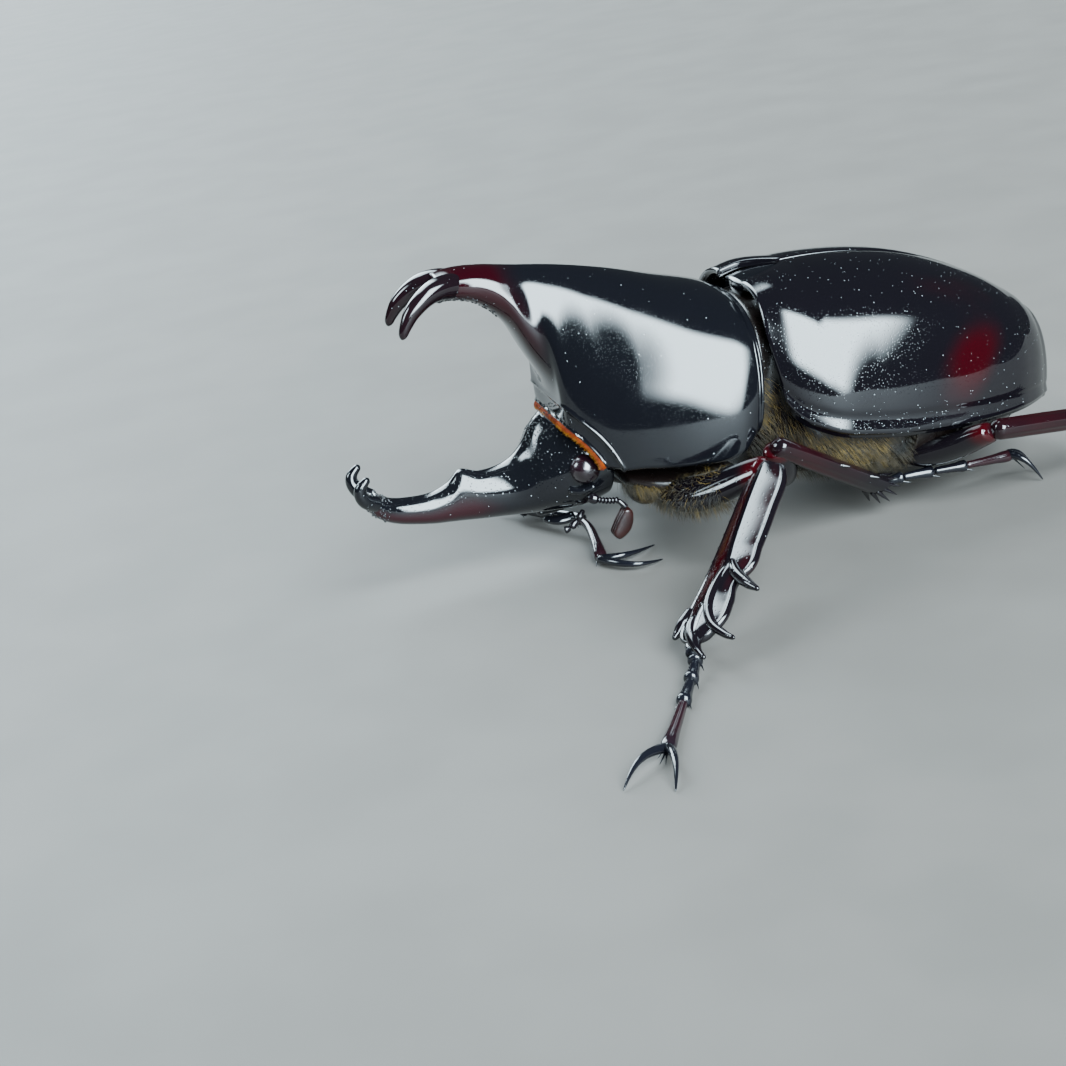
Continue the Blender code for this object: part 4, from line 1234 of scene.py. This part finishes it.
def digging_piece(name, leg):
    up = leg.shin.cross(leg.outer)

    def place(share, across, lift):
        return leg.knee + leg.shin * leg.length * share + leg.outer * across + up * lift

    def blade(step, angle):
        share = step / BLADE_STEPS
        inner_edge, crest, outer_edge, thick = BLADE.read(share)
        side, rise = math.cos(angle), math.sin(angle)
        round_off = end_scale(share, 0.03, 0.03)
        across = crest + abs(side) * ((outer_edge if side > 0 else inner_edge) - crest) * round_off
        roof = thick * (1 - abs(side) ** 1.3) * (1.0 if rise > 0 else 0.6)
        height = roof + BLADE_EDGE + ridge(abs(side), *BLADE_RIM)
        lift = math.copysign(min(abs(rise) * 4, 1.0) * height, rise) if abs(rise) > 1e-6 else 0.0
        return place(share, across, lift * round_off)

    def tint(share, angle):
        side = math.cos(angle)
        band = bell(side + 0.50, 0.34) if side < 0 else 0.45 * bell(side - 0.6, 0.3)
        return (band if math.sin(angle) > 0 else 0.3) * bell(share - 0.45, 0.5)

    bm = new_mesh()
    grow_skin(bm, BLADE_STEPS, 72, blade, tint)
    for path in DIGGING_TEETH + [DIGGING_SPUR]:
        last = len(path) - 1
        girths = [TOOTH_GIRTH[round(i * 5 / last)] for i in range(last + 1)]
        rows = [(i / last, *place(*p), girths[i], girths[i] * 0.9) for i, p in enumerate(path)]
        grow_limb(bm, Limb(rows, up), 36, 20, (0.10, 0.05))
    for i in range(BLADE_BRISTLES):
        share = 0.2 + 0.7 * i / BLADE_BRISTLES
        root = place(share, BLADE.read(share)[0] + 0.15, 0.0)
        grow_spike(bm, root, root - leg.outer * 0.45 + leg.shin * 0.5, 0.10, around=6)
    piece(f"shin_{name}", bm, FLOOR, LEG_FINISH, "leg", f"tibia_{name}")


# %% [markdown]
# The other shins carry slim spines, a crown of them round the end and a pair of
# spurs. Low ridges run down each shin.

# %% The other shins
SHIN_SPINES = ((0.45, 1.2), (0.72, 1.4))
SHIN_OVERLAP = 0.03
SHIN_ROWS = (-SHIN_OVERLAP, 0.03, 0.1, 0.25, 0.5, 0.75, 0.92, 1.0)
CROWN_PARTS = 6
CROWN_ARC = 200
CROWN_LENGTH = 1.7
SPUR_LENGTH = 2.2


def rear_thorns(bm, leg, end):
    """The spines down a shin, the crown round its end and the pair of spurs."""
    flat = leg.outer.cross(leg.shin)
    for share, reach in SHIN_SPINES:
        root = leg.knee + leg.shin * leg.length * share + leg.outer * end * 0.4
        aim = (leg.outer + leg.shin * 1.2).normalized()
        grow_spike(bm, root, root + aim * (reach + end * 0.5), 0.36)
    for turn in range(CROWN_PARTS + 1):
        angle = math.radians(CROWN_ARC * turn / CROWN_PARTS - CROWN_ARC / 2)
        lean = leg.outer * math.cos(angle) + flat * math.sin(angle) * 0.75
        root = leg.ankle - leg.shin * 0.7 + lean * end * 0.66
        grow_spike(bm, root, root + (leg.shin + lean * 0.6).normalized() * CROWN_LENGTH, 0.25)
    for turn in (-1, 1):
        root = leg.ankle - leg.shin * 0.6 - leg.outer * end * 0.78 + flat * 0.4 * turn
        aim = (leg.shin - leg.outer * 0.45 + flat * 0.3 * turn).normalized()
        grow_spike(bm, root, root + aim * SPUR_LENGTH, 0.3)


def shin_piece(name, leg, shape):
    start, end, thick = shape["tibia"]
    rows = []
    for share in SHIN_ROWS:
        breadth = start + (end - start) * max(share, 0) ** 0.7
        centre = leg.knee + leg.shin * leg.length * share
        rows.append(((share + SHIN_OVERLAP) / (1 + SHIN_OVERLAP), *centre, breadth, thick * 0.95))

    def relief(share, angle):
        wave = 0.05 * math.cos(4 * angle) + 0.03 * math.cos(9 * angle)
        return 1 + wave * math.sin(math.pi * clamp(share)) ** 0.5

    def tint(share, angle):
        side = 0.5 + 0.5 * math.cos(angle + math.pi)
        return (0.45 + 0.55 * side) * bell(share - 0.35, 0.4)

    bm = new_mesh()
    grow_limb(bm, Limb(rows, leg.outer), 72, 54, (0.05, 0.03), relief, tint)
    rear_thorns(bm, leg, end)
    piece(f"shin_{name}", bm, FLOOR, LEG_FINISH, "leg", f"tibia_{name}")


# %% [markdown]
# A foot is a string of four short joints and a long last one. Each joint is narrow
# where it starts and swollen where it ends, with a few short bristles under its end.
# The claws are thorns that curve down to the floor, with a pair of fine spines
# between them.

# %% Feet
TOE_JOINTS = 4
TOE_REACH = 2.0
TOE_SHIFT = 0.03
TOE_SWELL = ((0.0, 0.60), (0.25, 0.70), (0.6, 0.84), (0.9, 1.02), (1.0, 0.92))
LAST_TOE_END = 2.97
CLAW_START = 2.93
CLAW_SPREAD = 0.36
TIP_LEVEL = 0.12


def grow_toe(bm, track, start, end, radius, tint):
    rows = []
    for share, swell in TOE_SWELL:
        place = track.read(start + (end - start) * share)
        rows.append((share, *place, radius * swell, radius * swell))
    grow_limb(bm, Limb(rows, UP), 22, 20, (0.04, 0.10), tint=even(tint))
    centre, before = Vector(track.read(end)), Vector(track.read(end - 0.06))
    along = (centre - before).normalized()
    across = along.cross(UP).normalized()
    for turn in (-1, 1):
        root = before + across * turn * radius * 0.7 - UP * radius * 0.45
        tip = root + (along + across * turn * 0.35 - UP * 0.25) * 0.75
        tip.z = max(tip.z, TIP_LEVEL)
        grow_spike(bm, root, tip, 0.09, around=6)


def stand_on_floor(bm):
    """Flattens what would reach below the floor."""
    for vert in bm.verts:
        vert.co.z = max(vert.co.z, 0.0)


def foot_piece(name, leg, shape):
    radius = shape["foot"]
    bm = new_mesh()
    step = TOE_REACH / TOE_JOINTS
    for joint in range(TOE_JOINTS):
        start = step * joint + TOE_SHIFT
        grow_toe(bm, leg.foot, start, start + step, radius, 0.1)
    grow_toe(bm, leg.foot, TOE_REACH, LAST_TOE_END, radius, 0.35)
    end = Vector(leg.foot.read(CLAW_START))
    across = leg.claw_aim.cross(UP).normalized()
    for turn in (-1, 1):
        tip = end + (leg.claw_aim + across * CLAW_SPREAD * turn).normalized() * shape["claw"]
        tip.z = TIP_LEVEL
        hook = leg.claw_bow + across * 0.35 * turn
        grow_spike(bm, end - leg.claw_aim * 0.3, tip, 0.42, hook, 0.14, around=18)
        bristle = end + (leg.claw_aim + across * 0.15 * turn).normalized() * 1.6
        bristle.z = max(bristle.z - 0.5, 0.15)
        grow_spike(bm, end, bristle, 0.12, around=6)
    stand_on_floor(bm)
    piece(f"foot_{name}", bm, FLOOR, CLAW_FINISH, "leg", f"tarsus_{name}")


for name, leg in LEGS.items():
    shape = LEG_SHAPES[name.split("_")[0]]
    hip_piece(name, leg)
    thigh_piece(name, leg, shape)
    if name.startswith("front"):
        digging_piece(name, leg)
    else:
        shin_piece(name, leg, shape)
    foot_piece(name, leg, shape)


# %% [markdown]
# Under the head are the jaws, two palps, and the feelers: a stout first joint, a row
# of beads, and a club of three leaves that close like a fan.

# %% Jaws, palps and feelers
JAW = ((-17.6, 1.9, 1.0), (-19.2, 1.8, 0.75), (-20.4, 1.0, 0.7))
JAW_SIZES = ((0.75, 0.5), (0.8, 0.45), (0.35, 0.3))
PALP = ((-17.2, 3.35, 2.0), (-17.8, 3.65, 1.2), (-18.6, 3.8, 0.5), (-19.2, 3.7, 0.3))
FEELER_ROOT = (-17.2, 5.9, 3.9)
FEELER_BEND = (-15.1, 7.45, 3.95)
FEELER_SAG = 0.15
CLUB_TOP = (-14.45, 7.6, 3.2)
CLUB_WAY = Vector((-1.1, 0.0, -2.65))
CLUB_BOW = Vector((0.35, 0.0, 0.0))
CLUB_SHARES = (0, 0.25, 0.6, 0.9, 1.0)
CLUB_SIZES = ((0.35, 0.26), (0.62, 0.29), (0.75, 0.29), (0.55, 0.26), (0.25, 0.15))
CLUB_LEAF_GAP = 0.44
BEADS = 6
BEADS_START = 0.24
BEAD_STEP = 0.125


def grow_path(bm, path, sizes, broad, along, around):
    """Adds a limb through these places; each size is a breadth and a thickness."""
    rows = [(i / (len(path) - 1), *p, *s) for i, (p, s) in enumerate(zip(path, sizes))]
    grow_limb(bm, Limb(rows, broad), along, around, (0.06, 0.08))


def grow_round(bm, path, radii, broad, along, around):
    """Adds a limb of round sections."""
    grow_path(bm, path, [(radius, radius) for radius in radii], broad, along, around)


def mouth_parts(name, side):
    bm = new_mesh()
    grow_path(bm, [on_side(place, side) for place in JAW], JAW_SIZES, (0, 1, 0), 24, 24)
    piece(f"jaw_{name}", bm, BODY, HEAD_FINISH, "shell", f"mandible_{name}")
    bm = new_mesh()
    joints = [on_side(place, side) for place in PALP]
    for first, second in zip(joints, joints[1:]):
        path = (first, first.lerp(second, 0.7), second)
        grow_round(bm, path, (0.2, 0.36, 0.24), (0, 1, 0), 12, 16)
    piece(f"mouth_feeler_{name}", bm, BODY, LEG_FINISH, "leg", f"palp_{name}")


def feeler(name, side):
    root, bend, top = (on_side(place, side) for place in (FEELER_ROOT, FEELER_BEND, CLUB_TOP))

    def stem(*shares):
        return [root.lerp(bend, t) - UP * FEELER_SAG * math.sin(math.pi * t) for t in shares]

    bm = new_mesh()
    grow_round(bm, stem(-0.1, 0.08, 0.26), (0.38, 0.5, 0.34), UP, 18, 24)
    for bead in range(BEADS):
        start = BEADS_START + bead * BEAD_STEP
        grow_round(bm, stem(start, start + 0.07, start + 0.135), (0.16, 0.32, 0.2), UP, 12, 18)
    grow_round(bm, stem(0.97) + [bend.lerp(top, 0.6), top], (0.2, 0.28, 0.3), UP, 12, 18)
    piece(f"feeler_{name}", bm, BODY, LEG_FINISH, "leg", f"antenna_{name}")
    bm = new_mesh()
    for leaf in (-1, 0, 1):
        start = top + Vector((0, CLUB_LEAF_GAP * leaf, 0))
        path = [start + CLUB_WAY * t + CLUB_BOW * math.sin(math.pi * t) for t in CLUB_SHARES]
        grow_path(bm, path, CLUB_SIZES, (1, 0, 0), 24, 24)
    piece(f"feeler_club_{name}", bm, BODY, CLUB_FINISH, "club", f"club_{name}")


for name, side in SIDES:
    mouth_parts(name, side)
    feeler(name, side)


# %% [markdown]
# Hair shows at every seam of a beetle. Each hair is a closed spindle of a few faces,
# drawn out of a tiny sphere so that it has a root, a bend and a tip. It gets a patch of
# its own on a map, at its root's place, so that a baked colour lands hair by hair.

# %% One hair and many
PATCH = 0.003
HAIR_TAPER = 0.75


def hairs(count):
    """Many spindles to be laid as hairs, one block of points each, and their bake map."""
    bm, blocks = copies(
        count, lambda one: bmesh.ops.create_uvsphere(one, u_segments=3, v_segments=4, radius=1.0)
    )
    return bm, bm.loops.layers.uv.new("OFBake"), blocks


def lay_hair(block, layer, root, aim, length, radius, droop, patch):
    """Draws one spindle out from its root, with its tip let down by droop."""
    aim = aim.normalized()
    side = aim.cross(Vector((0.3, 0.5, 0.8))).normalized()
    other = aim.cross(side)
    for vert in block:
        t = (vert.co.z + 1) / 2
        size = radius * (1 - HAIR_TAPER * t)
        spot = (patch[0] + PATCH * vert.co.x / 2, patch[1] + PATCH * (t - 0.5))
        flat = side * vert.co.x + other * vert.co.y
        vert.co = root + aim * length * t + droop * t * t + flat * size
        for loop in vert.link_loops:
            loop[layer].uv = spot


# %% [markdown]
# The fringe at the shield's opening is the brightest hair on the beetle: rust next
# to the rim and yellow within. Its roots follow the rim just inside it, so the
# rim's own points, read in order, are the line to plant along.

# %% The fringe at the opening
HAIR_PLACE = random.Random(31)


def along_rim(share):
    """A point of the opening's rim at this share of its way round."""
    place = share * len(RIM)
    first, second = RIM[int(place) % len(RIM)], RIM[(int(place) + 1) % len(RIM)]
    return first.lerp(second, place - int(place))


def fringe(name, finish, inset, count, length, spread):
    bm, layer, blocks = hairs(count)
    for i, block in enumerate(blocks):
        share = (i + HAIR_PLACE.random()) / count
        rim = along_rim(share)
        inward = (RIM_MIDDLE - rim).normalized()
        root = rim + inward * (inset + HAIR_PLACE.uniform(-0.08, 0.08)) + COLLAR_NORMAL * 0.15
        wild = Vector([HAIR_PLACE.gauss(0, spread) for _ in range(3)])
        aim = inward * 0.35 - COLLAR_NORMAL + wild
        reach = length * HAIR_PLACE.uniform(0.7, 1.15)
        patch = (0.02 + 0.96 * share, 0.3 + 0.4 * HAIR_PLACE.random())
        lay_hair(block, layer, root, aim, reach, 0.022, inward * 0.25, patch)
    piece(name, bm, BODY, finish, "membrane")


fringe("fringe_rust", RUST_HAIR, 0.14, 4200, 0.6, 0.12)
fringe("fringe_yellow", YELLOW_HAIR, 0.30, 1800, 0.72, 0.14)

# %% [markdown]
# Brown and gold hair hangs from the hind body behind the shield and under the wing cases' rim,
# and tufts of it stand on the breast. It is scattered over the same surfaces that the
# skins were made from, with the outward way found from two short steps on them.


# %% Hair on the body
def surface_normal(surface, share, angle):
    place = surface(share, angle)
    ahead = surface(share + 0.004, angle) - place
    round_about = surface(share, angle + 0.02) - place
    normal = ahead.cross(round_about).normalized()
    return place, normal


def coat(name, surface, spans, count, length, lie, seed, finish):
    """Hair over the parts of a surface that the spans name, on both sides alike."""
    draw = random.Random(seed)
    bm, layer, blocks = hairs(count)
    for block in blocks:
        low, high, start, end = draw.choice(spans)
        share, angle = round(draw.uniform(low, high), 3), draw.uniform(start, end)
        place, normal = surface_normal(surface, share, angle)
        centre = surface(share, math.pi / 2).lerp(surface(share, -math.pi / 2), 0.5)
        if normal.dot(place - centre) < 0:
            normal = -normal
        wild = Vector([draw.gauss(0, 0.2) for _ in range(3)])
        aim = normal * 0.5 + Vector(lie) + wild
        reach = length * draw.uniform(0.5, 1.2)
        patch = (0.02 + 0.96 * (angle % (2 * math.pi)) / (2 * math.pi), 0.02 + 0.96 * share)
        droop = Vector((0.15, 0, -0.3)) * reach
        lay_hair(block, layer, place - normal * 0.08, aim, reach, 0.018, droop, patch)
    piece(name, bm, BODY, finish, "underside")


def hind_body_surface(share, angle):
    x = THORAX_FRONT + (THORAX_END - THORAX_FRONT) * clamp(share)
    return shell_point(inner_section(x, 0.0), angle)


def breast_surface(share, angle):
    return shell_point(BREAST_SECTIONS.read(clamp(share) * BREAST_END), angle)


def flanks(low, high, start, end):
    """A span on the left flank and its mirror image, in degrees below the widest level."""
    left = (low, high, math.radians(180 + start), math.radians(180 + end))
    right = (low, high, math.radians(-end), math.radians(-start))
    return [left, right]


def thigh_surface(side):
    skin = thigh_limb(LEGS[f"front_{side}"], LEG_SHAPES["front"])
    to_body = BODY.inverted() @ FLOOR
    return lambda share, angle: to_body @ skin.point(clamp(share), angle)


BACKWARD, DOWNWARD = (0.6, 0.0, -0.45), (0.2, 0.0, -0.4)
coat("hind_body_hair", hind_body_surface, flanks(0.0, 1.0, 0, 60), 5600, 1.3, BACKWARD, 41, DARK_HAIR)
coat("hind_body_gold_hair", hind_body_surface, flanks(0.0, 0.8, 0, 24), 1300, 1.5, BACKWARD, 43, GOLD_HAIR)
coat("breast_hair", breast_surface, flanks(0.02, 0.98, 0, 70), 2200, 1.3, DOWNWARD, 42, DARK_HAIR)
coat("breast_gold_hair", breast_surface, flanks(0.1, 0.9, 0, 25), 700, 1.4, BACKWARD, 44, GOLD_HAIR)
for hair_side, _ in SIDES:
    everywhere = [(0.1, 0.72, 0.0, 2 * math.pi)]
    surface = thigh_surface(hair_side)
    coat(f"thigh_hair_{hair_side}", surface, everywhere, 2600, 0.9, DOWNWARD, 45, DARK_HAIR)
    coat(f"thigh_gold_hair_{hair_side}", surface, everywhere, 500, 1.1, DOWNWARD, 46, GOLD_HAIR)


# %% [markdown]
# The model stands on a plain pale floor. Black gloss shows nothing but what it
# mirrors, so the light is a dim room with soft-edged windows: a tall, leaning one on
# the near side and two smaller ones, on the far side and ahead of the head. Panels of
# light have hard edges, so the windows are painted on the world instead, and where
# each one stands decides where the white streaks on shield, horns and wing cases fall.

# %% The floor
FLOOR_REACH = 3.0


def floor():
    finish = Finish("pale_floor")
    patches = finish.step(finish.noise(60.0), 0.3, 0.7)
    finish.paint(finish.mix(patches, (0.083, 0.074, 0.066), (0.096, 0.086, 0.077)), 0.7)
    bm = bmesh.new()
    bmesh.ops.create_grid(bm, x_segments=1, y_segments=1, size=FLOOR_REACH)
    mesh_object("floor", bm, finish.material)


floor()

# %% Windows in the world
ROOM_COLOUR = (0.74, 0.91, 1.0, 1.0)
ROOM_LIGHT = 0.06
# Azimuth, elevation, width, height, lean and feather in degrees, and how bright it is.
WINDOWS = [
    (10, 34, 34, 56, 30, 5, 44.0),
    (-168, 38, 26, 50, 0, 5, 20.0),
    (-106, 33, 16, 20, 0, 3, 24.0),
]


def toward(azimuth, elevation):
    """The way to a place in the room: azimuth 0 is the near side, positive towards the tail."""
    turn, rise = math.radians(azimuth), math.radians(elevation)
    return Vector((math.sin(turn) * math.cos(rise), -math.cos(turn) * math.cos(rise), math.sin(rise)))


def facing(graph, way, axis):
    """How far a way points along an axis, from -1 to 1."""
    return graph.node("ShaderNodeVectorMath", {"operation": "DOT_PRODUCT"}, {0: way, 1: axis}, "Value")


def window(graph, way, azimuth, elevation, width, height, lean, feather, light):
    """The light that comes from one soft-edged rectangle."""
    centre = toward(azimuth, elevation)
    level = toward(azimuth + 90, 0)
    plumb = centre.cross(level)
    turn = math.radians(lean)
    across = level * math.cos(turn) - plumb * math.sin(turn)
    upward = plumb * math.cos(turn) + level * math.sin(turn)
    glow = light
    for axis, size in ((across, width), (upward, height)):
        inner = math.sin(math.radians(size / 2 - feather))
        outer = math.sin(math.radians(size / 2 + feather))
        glow = (1 - graph.step(abs(facing(graph, way, axis)), inner, outer)) * glow
    return glow * (facing(graph, way, centre) > 0.0)


def room():
    world = bpy.data.worlds.new("studio")
    bpy.context.scene.world = world
    world.use_nodes = True
    graph = Graph(world.node_tree)
    background = graph.tree.nodes["Background"]
    way = graph.node("ShaderNodeTexCoord", output="Generated")
    light = ROOM_LIGHT
    for values in WINDOWS:
        light = window(graph, way, *values) + light
    background.inputs["Color"].default_value = ROOM_COLOUR
    graph.feed(background.inputs["Strength"], light)
    print("windows:", len(WINDOWS))


room()

# %% [markdown]
# The camera stands where the photograph was taken from: low over the floor on the
# beetle's left side, a hand's length away, and tilted, so that the floor seems to
# fall to the left.

# %% Camera
AZIMUTH = -12.8
ELEVATION = 20.7
ROLL = math.radians(-9.7)
DISTANCE = 184.0
TARGET = Vector((-21.12, 0.0, 3.06))
IMAGE_SIDE = 1066
FOCAL_PIXELS = 1943
SENSOR = 36.0
NEAREST = 0.005
FARTHEST = 20.0


def camera():
    back = toward(AZIMUTH, ELEVATION)
    right = toward(AZIMUTH + 90, 0)
    up = back.cross(right)
    turned_right = right * math.cos(ROLL) + up * math.sin(ROLL)
    turned_up = up * math.cos(ROLL) - right * math.sin(ROLL)
    lens = bpy.data.cameras.new("camera")
    lens.sensor_width = SENSOR
    lens.lens = SENSOR * FOCAL_PIXELS / IMAGE_SIDE
    lens.clip_start = NEAREST
    lens.clip_end = FARTHEST
    obj = add_object("camera", lens)
    turn = Matrix((turned_right, turned_up, back)).transposed().to_4x4()
    place = (TARGET + FLOOR_ORIGIN + back * DISTANCE) * MM
    obj.matrix_world = Matrix.Translation(place) @ turn
    bpy.context.scene.camera = obj
    print("camera is", round(place.z / MM), "mm over the floor")


camera()
